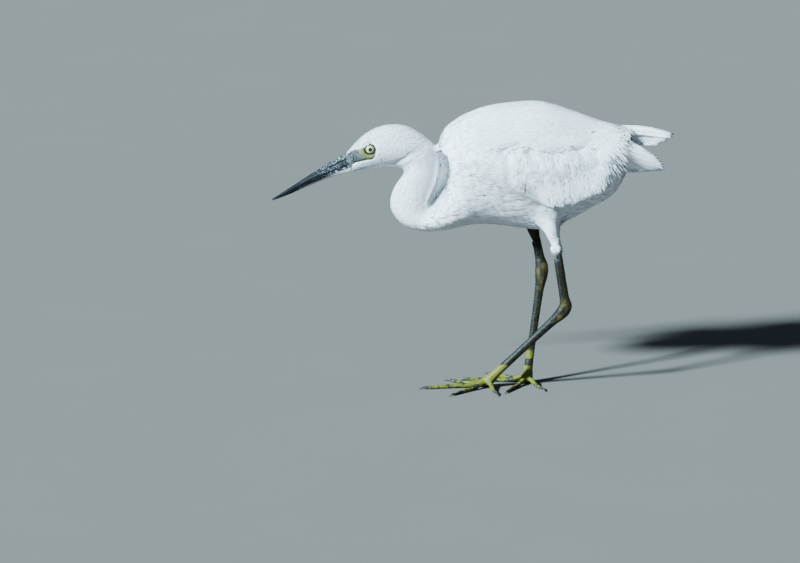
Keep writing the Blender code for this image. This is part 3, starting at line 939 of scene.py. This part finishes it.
    def normals_of_cover(self):
        """Normals of the outer surface of the coat."""
        shell = self.points + self.normals * self.cover[:, None]
        first, second, third = (shell[self.triangles[:, i]] for i in range(3))
        faces = np.cross(second - first, third - first)
        total = np.zeros_like(shell)
        for corner in range(3):
            np.add.at(total, self.triangles[:, corner], faces)
        return unit(averaged(unit(total), self.edges, 2))


def grow(skin, spots, faces, shares, trait, rng):
    """Stations of the strands that root at the spots: points, directions of their sides, and normals."""
    count = len(spots)
    length = skin.read(skin.length, faces, shares) * rng.uniform(0.75, 1.25, count)
    lively = 1 - 0.8 * skin.read(skin.calm, faces, shares)
    yaw = rng.normal(0, trait["stray"], count) * lively
    start = skin.read(skin.flow, faces, shares)
    up = unit(skin.read(skin.stand, faces, shares))
    flow = unit(start * np.cos(yaw)[:, None] + np.cross(up, start) * np.sin(yaw)[:, None])
    base, stations, ups, softs = spots, [], [], []
    jitter = rng.normal(0, trait["loose"], count) * lively
    free = skin.read(skin.free, faces, shares)[:, None]
    soft = unit(skin.read(skin.soft_normals, faces, shares))
    for number, (share, rise) in enumerate(zip(trait["stations"], trait["rises"])):
        if number:
            step = (share - trait["stations"][number - 1]) * length
            ahead = base + flow * step[:, None]
            below, faces, shares = skin.nearest(ahead)
            base = below + (ahead - below) * free
            up = unit(up * free + unit(skin.read(skin.stand, faces, shares)) * (1 - free))
            local = skin.read(skin.flow, faces, shares)
            flow = (0.6 + 0.4 * free) * flow + 0.4 * (1 - free) * local
            flow = unit(flow - up * (flow * up).sum(1)[:, None])
            here = unit(skin.read(skin.soft_normals, faces, shares))
            soft = unit(soft * free + here * (1 - free))
        cover = skin.read(skin.cover, faces, shares)
        high = cover * rise + jitter * share * MM
        stations.append(base + up * high[:, None])
        ups.append(up)
        softs.append(soft)
    stations = np.stack(stations, 1)
    gather(stations, trait, lively, rng)
    return stations, np.stack(ups, 1), np.stack(softs, 1)


def search_tree(points):
    tree = KDTree(len(points))
    for i, point in enumerate(points.tolist()):
        tree.insert(point, i)
    tree.balance()
    return tree


def gather(stations, trait, lively, rng):
    """Draws each strand towards the nearest of some guide strands, more towards its tip, into locks."""
    count = len(stations)
    guides = rng.choice(count, max(count // trait["in_lock"], 1), replace=False)
    tree = search_tree(stations[guides, 0])
    own = guides[[tree.find(root)[1] for root in stations[:, 0].tolist()]]
    pull = trait["gather"] * lively[:, None, None] * np.array(trait["stations"])[None, :, None] ** 1.5
    stations += pull * (stations[own] - stations)


def strand_mesh(name, stations, ups, softs, widths, patches, lean):
    """A closed three-sided strand along each row of stations, ending in a point, joined as one mesh."""
    count, rows = stations.shape[:2]
    ways = np.gradient(stations, axis=1)
    sides = unit(np.cross(ups, ways))
    rings = rows - 1
    profile = np.array(STRAND_PROFILE[rings])[None, :, None]
    half = widths[:, None, None] / 2 * profile
    body, side, up = stations[:, :rings], sides[:, :rings], ups[:, :rings]
    corners = np.stack([body - side * half, body + side * half, body + up * half * RIDGE], 2)
    points = np.concatenate([corners.reshape(count, -1, 3), stations[:, rings:]], 1)
    soft = softs[:, :rings]
    shading = np.stack([unit(soft - side * lean), unit(soft + side * lean), soft], 2)
    shading = np.concatenate([shading.reshape(count, -1, 3), softs[:, rings:]], 1)
    faces = [(0, 1, 2)]
    for ring in range(rings - 1):
        a, b = 3 * ring, 3 * ring + 3
        for i, j in ((0, 1), (1, 2), (2, 0)):
            faces += [(a + i, b + i, b + j), (a + i, b + j, a + j)]
    last = 3 * (rings - 1)
    faces += [(last + i, 3 * rings, last + j) for i, j in ((0, 1), (1, 2), (2, 0))]
    each = 3 * rings + 1
    triangles = (np.arange(count)[:, None, None] * each + np.array(faces)[:, ::-1]).reshape(-1, 3)
    along = np.append(np.repeat(np.linspace(0, 0.8, rings), 3), 1.0)
    across = np.append(np.tile([0.0, 1.0, 0.5], rings), 0.5)
    local = np.stack([along, across], 1) * PATCH - PATCH / 2
    places = np.clip(patches[:, None, :] + local[None], 0.0005, 0.9995).reshape(-1, 2)
    return array_mesh(name, points.reshape(-1, 3), triangles, places, shading.reshape(-1, 3))


def array_mesh(name, points, triangles, places=None, shading=None):
    mesh = bpy.data.meshes.new(name)
    mesh.vertices.add(len(points))
    mesh.vertices.foreach_set("co", points.astype(np.float32).ravel())
    mesh.loops.add(triangles.size)
    mesh.loops.foreach_set("vertex_index", triangles.astype(np.int32).ravel())
    mesh.polygons.add(len(triangles))
    mesh.polygons.foreach_set("loop_start", np.arange(0, triangles.size, 3, dtype=np.int32))
    mesh.update(calc_edges=True)
    mesh.shade_smooth()
    if places is not None:
        layer = mesh.uv_layers.new(name="OFBake")
        layer.uv.foreach_set("vector", places[triangles.ravel()].astype(np.float32).ravel())
    if shading is not None:
        mesh.normals_split_custom_set_from_vertices(shading.astype(np.float32))
    return mesh


def mount(piece, slot, *replaced):
    """Fixes a piece to the model's one body, and hides the nodes that it replaces. The slot, what the piece
    is made of, is not used.
    """
    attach(piece, "root")
    if replaced:
        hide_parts(*replaced)


def unwrap(piece):
    """Gives a piece the map OFBake, by unfolding its own surface."""
    piece.data.uv_layers.new(name="OFBake")
    for other in bpy.context.selected_objects:
        other.select_set(False)
    bpy.context.view_layer.objects.active = piece
    piece.select_set(True)
    bpy.ops.object.mode_set(mode="EDIT")
    bpy.ops.mesh.select_all(action="SELECT")
    bpy.ops.uv.smart_project(angle_limit=math.radians(66), island_margin=0.001)
    bpy.ops.object.mode_set(mode="OBJECT")
    piece.select_set(False)


def corner_places(mesh):
    """The OFBake place of each corner of each triangle."""
    corners = read_array(mesh.loop_triangles, "loops", 3, np.int32)
    return read_array(mesh.uv_layers["OFBake"].uv, "vector", 2)[corners]


def growing_place(skin, node, half):
    """Whether each vertex carries a piece of the coat: its nodes, and the half of them that it keeps to."""
    _, y, z = skin.points.T
    mine = skin.on(node) & (skin.bare < 0.5)
    # the far thigh's lower part, painted dark as shade, grows no coat
    mine &= (skin.node != "thigh_right") | (z > FAR_THIGH_SHADE_TOP + 7 * MM)
    for word in half.split():
        tests = {"left": y < 0, "right": y >= 0, "upper": z > UPPER_COAT, "lower": z <= UPPER_COAT}
        mine &= tests[word]
    return mine


def coat(skin, places, finish):
    """All of the soft plumage, in pieces that follow the parts of the body."""
    rng = np.random.default_rng(11)
    for name, node, kind, count, half in COAT:
        trait = STRANDS[kind]
        thin = 1 - skin.on("wing") * soft_step(skin.points[:, 0], *THIN_BACK)
        chance = growing_place(skin, node, half) * thin / np.maximum(skin.length * skin.width, 1e-7)
        spots, faces, shares = skin.scatter(chance, count, rng)
        stations, ups, softs = grow(skin, spots, faces, shares, trait, rng)
        widths = skin.read(skin.width, faces, shares) * rng.uniform(0.8, 1.2, count)
        patches = (places[faces] * shares[:, :, None]).sum(1)
        kept = clear_of_eyes(stations)
        strands = [rows[kept] for rows in (stations, ups, softs, widths, patches)]
        piece = new_object(name, strand_mesh(name, *strands, trait["lean"]), finish, smooth=False)
        mount(piece, "plumage")


def clear_of_eyes(stations):
    """Whether each strand keeps off the lids and the eyes."""
    gap = np.hypot(stations[:, :, 0] - EYE_SPOT[0], stations[:, :, 2] - EYE_SPOT[2])
    return (gap > LID_OUTER + 0.2 * MM).all(1)


def white_plumage():
    """White feather: matt, faintly cool in places, with the fine grain of barbs."""
    paint = Paint("white plumage", Roughness=0.75, Specular_IOR_Level=0.3)
    tint = paint.noise(55, 3).rise(0.35, 0.7)
    fine = paint.noise(900, 2)
    colour = paint.mix(tint, (0.80, 0.815, 0.83), (0.86, 0.865, 0.865))
    colour = paint.mix(fine.rise(0.3, 0.75) * 0.35, colour, (0.74, 0.76, 0.79))
    return paint.finish(Base_Color=colour)


def vane_feather():
    """The stiffer feathers of wing and tail: white, with barbs running out from the shaft, and blue-grey
    painted shade at the tips and along the edges where the feathers overlap.
    """
    paint = Paint("white vane", Roughness=0.6, Specular_IOR_Level=0.35)
    barb = (paint.attribute("barb") * 5200).wave()
    shaft = paint.attribute("shaft")
    worn = paint.attribute("worn")
    grain = paint.noise(420, 2)
    colour = paint.mix(barb * 0.25 + 0.25, (0.86, 0.865, 0.87), (0.76, 0.78, 0.80))
    colour = paint.mix(shaft, colour, (0.80, 0.79, 0.74))
    # painted shade: tips and overlapping edges are darkened blue-grey, broken up by the grain
    colour = paint.mix(worn * grain.rise(0.2, 0.5), colour, (0.22, 0.26, 0.31))
    paint.bump(barb * 0.5 + grain, 0.35, 0.0004)
    return paint.finish(Base_Color=colour)


def bill_material():
    """Blackish horn, blue-grey and flaking at the root, pale under the root of the lower mandible."""
    paint = Paint("bill horn", Specular_IOR_Level=0.06)
    root = paint.attribute("root")
    pale = paint.attribute("pale")
    turn = {"Vector": paint.place(), "Angle": BILL_SLOPE}
    grain = paint.node("ShaderNodeVectorRotate", {"rotation_type": "Y_AXIS"}, turn)
    streaks = paint.noise(1.0, 4, paint.place((130, 900, 900), grain))
    blotches = paint.noise(420, 4)
    mottle = paint.noise(1.0, 5, paint.place((420, 900, 900), grain))
    colour = paint.mix(streaks.rise(0.40, 0.75), (0.002, 0.0025, 0.003), (0.006, 0.008, 0.011))
    grey = paint.mix(streaks.rise(0.38, 0.65), (0.006, 0.007, 0.009), (0.050, 0.054, 0.060))
    flaking = mottle.rise(0.57, 0.63)
    grey = paint.mix(flaking * 0.9, grey, (0.36, 0.38, 0.40))
    colour = paint.mix(root, colour, grey)
    pinkish = paint.mix(blotches.rise(0.35, 0.7), (0.34, 0.31, 0.29), (0.60, 0.57, 0.53))
    pinkish = paint.mix(paint.attribute("chin"), pinkish, (0.70, 0.71, 0.70))
    colour = paint.mix(pale, colour, pinkish)
    colour = paint.mix(paint.attribute("slit"), colour, (0.004, 0.005, 0.006))
    paint.bump(streaks * 0.6 + flaking * root, 0.3, 0.0003)
    return paint.finish(Base_Color=colour, Roughness=0.34 + 0.3 * blotches)


def skin_material():
    """Bare skin of the face, legs and feet, and the pale skin under the plumage."""
    paint = Paint("skin", Specular_IOR_Level=0.16)
    fine = paint.noise(700, 3)
    blotches = paint.noise(170, 4)
    coarse = paint.noise(90, 3)
    lore = paint.mix(fine.rise(0.3, 0.7), (0.090, 0.096, 0.026), (0.155, 0.165, 0.058))
    lore = paint.mix(blotches.rise(0.45, 0.7), lore, (0.060, 0.075, 0.028))
    mottle = paint.noise(620, 5)
    horn = paint.mix(blotches.rise(0.35, 0.6), (0.010, 0.010, 0.011), (0.060, 0.062, 0.064))
    horn = paint.mix(mottle.rise(0.59, 0.64) * 0.75, horn, (0.32, 0.32, 0.31))
    horn = paint.mix(paint.attribute("pale"), horn, (0.70, 0.71, 0.70))
    face = paint.mix(paint.attribute("horn"), lore, horn)
    face = paint.mix(paint.attribute("gape"), face, (0.15, 0.155, 0.07))
    face = paint.mix(paint.attribute("dark_line"), face, (0.014, 0.017, 0.008))
    seam = paint.attribute("seam")
    dark = paint.mix(coarse.rise(0.35, 0.7), (0.0045, 0.0048, 0.0045), (0.013, 0.012, 0.007))
    dark = paint.mix(seam * 0.6, dark, (0.040, 0.038, 0.026))
    brown = paint.mix(blotches.rise(0.3, 0.7), (0.018, 0.014, 0.004), (0.085, 0.060, 0.014))
    brown = paint.mix(seam * 0.4, brown, (0.10, 0.09, 0.045))
    leg = paint.mix(paint.attribute("rear"), dark, brown)
    yellow = paint.mix(blotches.rise(0.3, 0.7), (0.085, 0.100, 0.012), (0.20, 0.175, 0.014))
    yellow = paint.mix(seam * 0.65, yellow, (0.055, 0.045, 0.004))
    muddy = blotches.rise(0.42, 0.54) * coarse.rise(0.34, 0.48) * paint.attribute("mud")
    yellow = paint.mix(muddy, yellow, (0.016, 0.019, 0.013))
    leg = paint.mix(paint.attribute("yellow"), leg, yellow)
    colour = paint.mix(paint.attribute("leg"), face, leg)
    colour = paint.mix(paint.attribute("down"), colour, (0.80, 0.80, 0.80))
    paint.bump(fine + blotches * 0.6, 0.3, 0.0003)
    rough = 0.32 + 0.3 * blotches
    return paint.finish(Base_Color=colour, Roughness=rough)


def eye_material():
    """Black pupil in a pale yellow iris under a wet clear cornea."""
    paint = Paint("eye", Roughness=0.25, Coat_Weight=1.0, Coat_Roughness=0.02)
    radius = paint.attribute("radius")
    angle = paint.attribute("angle")
    fibres = (angle * 46).wave() * 0.25 + (angle * 113 + 1.3).wave() * 0.2
    iris = paint.mix((fibres + 0.5).rise(0.2, 0.9), (0.40, 0.40, 0.16), (0.56, 0.55, 0.29))
    iris = paint.mix(radius.rise(3.2 * MM, 4.2 * MM), iris, (0.13, 0.135, 0.04))
    iris = paint.mix(1 - radius.rise(1.9 * MM, 2.3 * MM), iris, (0.18, 0.16, 0.04))
    colour = paint.mix(radius.rise(1.85 * MM, 2.0 * MM), (0.004, 0.004, 0.004), iris)
    return paint.finish(Base_Color=colour)


def claw_material():
    paint = Paint("claw horn", Specular_IOR_Level=0.5)
    grain = paint.noise(500, 4)
    colour = paint.mix(grain.rise(0.3, 0.7), (0.012, 0.011, 0.010), (0.06, 0.05, 0.035))
    paint.bump(grain, 0.3, 0.0003)
    return paint.finish(Base_Color=colour, Roughness=0.3 + 0.3 * grain)


def skin_piece():
    mesh = whole_skin()
    piece = new_object("skin", mesh, skin_material())
    unwrap(piece)
    skin = Skin(mesh)
    paint_skin(mesh, skin)
    mount(piece, "leg_scales", *COATED, *SCALY)
    return skin, corner_places(mesh)


def paint_skin(mesh, skin):
    """Attributes that place the colours of the skin's material."""
    points = skin.points
    x, _, z = points.T
    # painted shade: below this height the far thigh gets the dark leg colour and no white down, for the
    # belly's shadow on it
    far_thigh_shade = (skin.node == "thigh_right") & (z < FAR_THIGH_SHADE_TOP)
    leg = (~skin.coated | far_thigh_shade).astype(float)
    # here it is wear only: the worn top of the near shank, where wisps of white down are left
    worn = (skin.node == "shank_left") * soft_step(z, *WORN_SHANK)
    wisps = 0.22 * worn * soft_step(lattice_noise(points, 1.6 * MM, 33), -1.2, 0.9)
    radius = np.hypot(x - EYE_SPOT[0], (z - EYE_SPOT[2]) * LID_SQUEEZE)
    rim = 1 - soft_step(radius, *EYE_RIM)
    line = near_line(points, GAPE_LINE, 1.2 * MM)
    seam, rear = leg_marks(skin)
    set_attributes(
        mesh,
        leg=leg,
        down=skin.coated * (1 - skin.bare) * ~far_thigh_shade + wisps,
        horn=1 - soft_step(x + 0.8 * (z - 0.236), HORN_END - 2.5 * MM, HORN_END + 1.5 * MM),
        pale=pale_side(x, z),
        gape=near_line(points, GAPE_STRIPE, 1.2 * MM),
        dark_line=np.maximum(rim, 0.95 * line) * (1 - leg),
        seam=seam,
        rear=rear * leg,
        yellow=yellow_feet(skin),
        mud=np.where(skin.on("toe"), 1.0, 0.35),
    )


def leg_marks(skin):
    """The seams between the scales of the legs, and how brown the rear of each leg and its ankle is."""
    legs = np.flatnonzero(~skin.coated)
    scaly = skin.label[legs] - len(COATED)
    along, angle = limb_places(skin.points[legs], scaly)
    seam, rear = np.zeros((2, len(skin.points)))
    seam[legs] = -scute_relief(skin.points[legs], scaly, along, angle)
    rear[legs] = soft_step(np.abs(angle), 1.7, 2.5)
    ankle = averaged(skin.on("ankle").astype(float), skin.edges, 14)
    patchy = soft_step(lattice_noise(skin.points, 5 * MM, 31), -0.3, 0.8)
    return seam, np.clip(0.75 * rear + 0.7 * ankle * patchy, 0, 1)


def yellow_feet(skin):
    """1 on the yellow of the feet, which ends raggedly on each tarsus, and 0 above it."""
    z = skin.points[:, 2]
    yellow = (skin.on("foot") | skin.on("toe")).astype(float)
    for side, (height, dark_rings) in YELLOW_TOP.items():
        mine = skin.node == f"tarsus_{side}"
        ragged = height + 1.5 * MM * lattice_noise(skin.points, 4 * MM, 21)
        share = 1 - soft_step(z, ragged - 0.6 * MM, ragged + 0.6 * MM)
        for low, high in dark_rings:
            share = share * (1 - ((z > low) & (z < high)))
        yellow[mine] = share[mine]
    return yellow


def pale_side(x, z):
    """1 on the pale underside of the lower half of the bill."""
    return soft_step(height_of(PALE_EDGE, x) - z, 0.0, 2.2 * MM)


def bill_piece(node, finish):
    """One half of the bill, finer than its solid, with its groove, slit nostril and cutting edge."""
    bm = merged([node])
    root = [vert for vert in bm.verts if vert.co.x > BILL_ROOT]
    bmesh.ops.translate(bm, verts=root, vec=BILL_REACH)
    mesh = modified(modelled(node, bm), ("REMESH", {"mode": "VOXEL", "voxel_size": BILL_VOXEL}))
    put_points(mesh, averaged(points_of(mesh), edges_of(mesh), 3))
    points, normals = points_of(mesh), normals_of(mesh)
    side = (node == "bill_upper") * soft_step(np.abs(points[:, 1]), 0.6 * MM, 1.4 * MM)
    slit = near_line(points, NOSTRIL, 1.1 * MM) * side
    groove = near_line(points, GROOVE, 1.1 * MM) * side
    put_points(mesh, points - normals * (0.75 * MM * slit + 0.3 * MM * groove)[:, None])
    x, _, z = points.T
    edge = near_line(points, CUTTING_EDGE, 0.9 * MM)
    set_attributes(
        mesh,
        slit=np.clip(1.3 * np.maximum(slit, edge), 0, 1),
        root=soft_step(x, *ROOT_FADE[node]),
        pale=pale_side(x, z) * (node == "bill_lower"),
        chin=soft_step(x, -0.150, -0.126),
    )
    piece = new_object(f"{node}_horn", mesh, finish)
    unwrap(piece)
    mount(piece, "bill_horn", node)


def eyeball(side, finish):
    bm = bmesh.new()
    bmesh.ops.create_uvsphere(bm, u_segments=64, v_segments=48, radius=EYE_RADIUS)
    bmesh.ops.rotate(bm, verts=bm.verts, matrix=Matrix.Rotation(math.pi / 2, 3, "X"))
    x, y, z = EYE_SPOT
    bmesh.ops.translate(bm, verts=bm.verts, vec=(x, SIDES[side] * y, z))
    mesh = modelled("eyeball", bm)
    points = points_of(mesh)
    out = points[:, [0, 2]] - np.array([x, z])
    radius = np.where(points[:, 1] * SIDES[side] > y, np.hypot(*out.T), BACK_OF_EYE)
    set_attributes(mesh, radius=radius, angle=np.arctan2(out[:, 1], out[:, 0]))
    piece = new_object(f"eyeball_{side}", mesh, finish)
    unwrap(piece)
    mount(piece, "eye", f"eye_{side}")


def vane(path, side, up, half_width, thickness, bluntness, seed):
    """One stiff feather along a path of points, as (points, triangles, barb, shaft, worn) arrays, the last
    of which marks painted shade at the tip and the edges. The blunter it is, the more its width is kept up
    to the tip."""
    rng = np.random.default_rng(seed)
    rows, columns = len(path), len(ACROSS)
    along = np.linspace(0, 1, rows)
    length = np.linalg.norm(np.diff(path, axis=0), axis=1).sum()
    tip = (1 - (np.clip(along - TIP_START, 0, 1) / (1 - TIP_START)) ** bluntness) ** 0.7
    width = half_width * (0.45 + 0.55 * soft_step(along, 0, 0.35)) * np.maximum(tip, 0.04)
    ragged = 1 + 0.04 * rng.standard_normal((rows, 2)) * (along[:, None] > 0.3)
    reach = np.where(ACROSS < 0, ragged[:, :1], ragged[:, 1:]) * ACROSS[None, :] * width[:, None]
    arch = -0.18 * np.abs(reach) ** 2 / half_width
    ridge = np.where(ACROSS == 0, 0.30 * MM, 0.0) * (1 - 0.8 * along[:, None])
    lens = thickness * (1.05 - ACROSS**2)[None, :]
    lift = (arch + ridge + lens / 2)[:, :, None]
    top = path[:, None] + side[:, None] * reach[:, :, None] + up[:, None] * lift
    bottom = top - up[:, None] * (lens + ridge)[:, :, None]
    points = np.concatenate([top.reshape(-1, 3), bottom.reshape(-1, 3)])
    barb = (along[:, None] * length - 0.9 * np.abs(reach)).ravel()
    shaft = np.broadcast_to(np.abs(ACROSS) < 0.1, reach.shape).astype(float).ravel()
    # painted shade at the tip, and a fainter one along both edges where the next feather lies under this one
    worn = np.maximum(soft_step(along, 0.86, 1.0)[:, None], 0.2 * (np.abs(ACROSS) > 0.9)[None, :]).ravel()
    return points, vane_faces(rows, columns), np.tile(barb, 2), np.tile(shaft, 2), np.tile(worn, 2)


def vane_faces(rows, columns):
    """The triangles of a feather's upper and lower face and of its rim."""
    faces = []
    low = rows * columns
    for i in range(rows - 1):
        for j in range(columns - 1):
            a, b = i * columns + j, i * columns + j + 1
            c, d = b + columns, a + columns
            faces += [(a, b, c), (a, c, d), (low + a, low + c, low + b), (low + a, low + d, low + c)]
        for j in (0, columns - 1):
            a, d = i * columns + j, (i + 1) * columns + j
            quad = [(a, d, low + d), (a, low + d, low + a)]
            faces += quad if j == 0 else [triangle[::-1] for triangle in quad]
    for i in (0, rows - 1):
        for j in range(columns - 1):
            a, b = i * columns + j, i * columns + j + 1
            quad = [(a, low + a, low + b), (a, low + b, b)]
            faces += quad if i == 0 else [triangle[::-1] for triangle in quad]
    return np.array(faces)


def vanes_piece(name, feathers, finish, *replaced):
    """Stiff feathers joined as one piece."""
    parts, count = [], 0
    for points, faces, *marks in feathers:
        parts.append((points, faces + count, *marks))
        count += len(points)
    points, faces, barb, shaft, worn = (np.concatenate(column) for column in zip(*parts))
    mesh = array_mesh(name, points, faces)
    bm = bmesh.new()
    bm.from_mesh(mesh)
    bmesh.ops.recalc_face_normals(bm, faces=bm.faces)
    bm.to_mesh(mesh)
    bm.free()
    set_attributes(mesh, barb=barb, shaft=shaft, worn=worn)
    piece = new_object(name, mesh, finish)
    unwrap(piece)
    mount(piece, "plumage", *replaced)


def tail_feathers(finish):
    """Feathers folded under each other to both sides of the middle pair, like a steep roof whose eaves
    turn in."""
    made = []
    middle = (TAIL_FEATHERS - 1) / 2
    for number in range(TAIL_FEATHERS):
        place = number - middle
        across = place / middle * 0.86
        tip = TAIL_TIP - 0.020 * abs(across) ** 1.4 - 0.0015 * (number % 2)
        x = np.linspace(TAIL_ROOT, tip, 22)
        sunk = 0.33 * MM * (abs(place) - 0.5)
        path = tail_section(x, across) - np.array([0, 0, sunk])
        side = unit(tail_section(x, across + 0.06) - tail_section(x, across - 0.06))
        up = unit(np.cross(unit(np.gradient(path, axis=0)), side))
        made.append(vane(path, side, up, 4.2 * MM, 0.5 * MM, 3.5, 40 + number))
    vanes_piece("tail_feathers", made, finish, "tail")


def tail_section(x, turn):
    """Points of the folded tail at places along X, as far round it as turn says, 0 at the top."""
    share = np.clip((x - 0.140) / 0.0615, 0, 1)
    half = (6.2 - 0.7 * share) * MM
    tucked = 1 - (1.35 - 0.75 * soft_step(x, 0.172, 0.190)) * np.clip(abs(turn) - 0.2, 0, 1)
    y = half * np.tanh(4.5 * turn) * tucked
    z = TAIL_TOP - 8 * MM * share**3 - (14 + 3 * share) * MM * abs(turn) ** 1.25
    return np.stack([x, y, z], 1)


def wing_face(side):
    """A function that gives the outer face of a closed wing's solid at points (x, z)."""
    mesh = NODES[f"wing_{side}"].data
    surface = Surface(mesh)
    sign = SIDES[side]

    def at(x, z):
        spots = []
        for one_x, one_z in zip(x.tolist(), z.tolist()):
            hit = surface.tree.ray_cast(Vector((one_x, sign * 0.08, one_z)), Vector((0, -sign, 0)))
            spot = hit[0] or surface.tree.find_nearest(Vector((one_x, sign * 0.03, one_z)))[0]
            spots.append((one_x, spot.y, one_z))
        return np.array(spots)

    return at


def wing_feathers(side, finish):
    """The long feathers at the back of a closed wing, each lying under the one above it."""
    at = wing_face(side)
    sign = SIDES[side]
    along = np.linspace(0, 1, VANE_ROWS)
    made = []
    for number in range(WING_VANES):
        share = number / (WING_VANES - 1)
        root, tip = (np.array(along_line(line, share)) for line in (VANE_ROOTS, VANE_TIPS))
        if side == "right":
            root, tip = root + FAR_WING_ROOTS, tip + FAR_WING_TIPS
        x = root[0] + (tip[0] - root[0]) * along
        bow = VANE_BOW * (1 - 0.7 * share) * np.sin(np.pi * along)
        z = root[1] + (tip[1] - root[1]) * along + bow
        path = at(x, z)
        path[:, 1] = averaged_line(path[:, 1], 6)
        sunk = VANE_SUNK * (1 - soft_step(along, 0.0, 0.35))
        path[:, 1] -= sign * (0.3 * MM + VANE_SPACING * number + sunk)
        ways = unit(np.gradient(path, axis=0))
        lower = at(x, z - 3 * MM) - at(x, z + 3 * MM)
        side_way = unit(lower - ways * (lower * ways).sum(1)[:, None])
        side_way = unit(averaged_line(side_way, 6))
        up = unit(np.cross(ways, side_way)) * sign
        up *= np.sign((up[:, 1] * sign).mean())
        half = 3.4 * MM - 0.6 * MM * share
        made.append(vane(path, side_way, up, half, 0.4 * MM, 1.7, 70 + number))
    vanes_piece(f"wing_feathers_{side}", made, finish)


def along_line(line, share):
    """The point at a share of the way along a line of points, counted by its pieces."""
    place = share * (len(line) - 1)
    return [np.interp(place, range(len(line)), column) for column in zip(*line)]


def averaged_line(values, rounds):
    """Values along a line, evened out with their neighbours."""
    for _ in range(rounds):
        middle = (values[:-2] + 2 * values[1:-1] + values[2:]) / 4
        values = np.concatenate([values[:1], middle, values[-1:]])
    return values


def claw_piece(node, finish):
    mesh = modified(
        modelled(node, merged([node])),
        ("REMESH", {"mode": "VOXEL", "voxel_size": CLAW_VOXEL}),
        ("SMOOTH", {"factor": 0.5, "iterations": 2}),
    )
    piece = new_object(f"{node}_horn", mesh, finish)
    unwrap(piece)
    mount(piece, "claw_horn", node)


def floor():
    """A plain flat floor."""
    bm = bmesh.new()
    bmesh.ops.create_grid(bm, x_segments=1, y_segments=1, size=6)
    mesh = modelled("floor", bm)
    paint = Paint("studio floor", Roughness=0.9)
    colour = paint.mix(paint.noise(6, 2), *FLOOR_COLOURS)
    new_object("floor", mesh, paint.finish(Base_Color=colour))


def lights():
    """Broad sunlight from the front left, and a weak blue sky."""
    data = bpy.data.lights.new("sun", "SUN")
    data.energy, data.color, data.angle = SUN_ENERGY, SUN_COLOUR, SUN_WIDTH
    light = bpy.data.objects.new("sun", data)
    bpy.context.scene.collection.objects.link(light)
    light.rotation_euler = Vector(SUN_FROM).to_track_quat("Z", "Y").to_euler()
    world = bpy.data.worlds.new("sky")
    world.use_nodes = True
    background = world.node_tree.nodes["Background"]
    background.inputs["Color"].default_value = SKY_COLOUR
    background.inputs["Strength"].default_value = SKY_STRENGTH
    bpy.context.scene.world = world


def main():
    camera()
    floor()
    lights()
    white, stiff = white_plumage(), vane_feather()
    skin, places = skin_piece()
    coat(skin, places, white)
    tail_feathers(stiff)
    horn, claw, eye = bill_material(), claw_material(), eye_material()
    for side in SIDES:
        wing_feathers(side, stiff)
        eyeball(side, eye)
    for node in ("bill_upper", "bill_lower"):
        bill_piece(node, horn)
    for node in CLAWS:
        claw_piece(node, claw)


main()
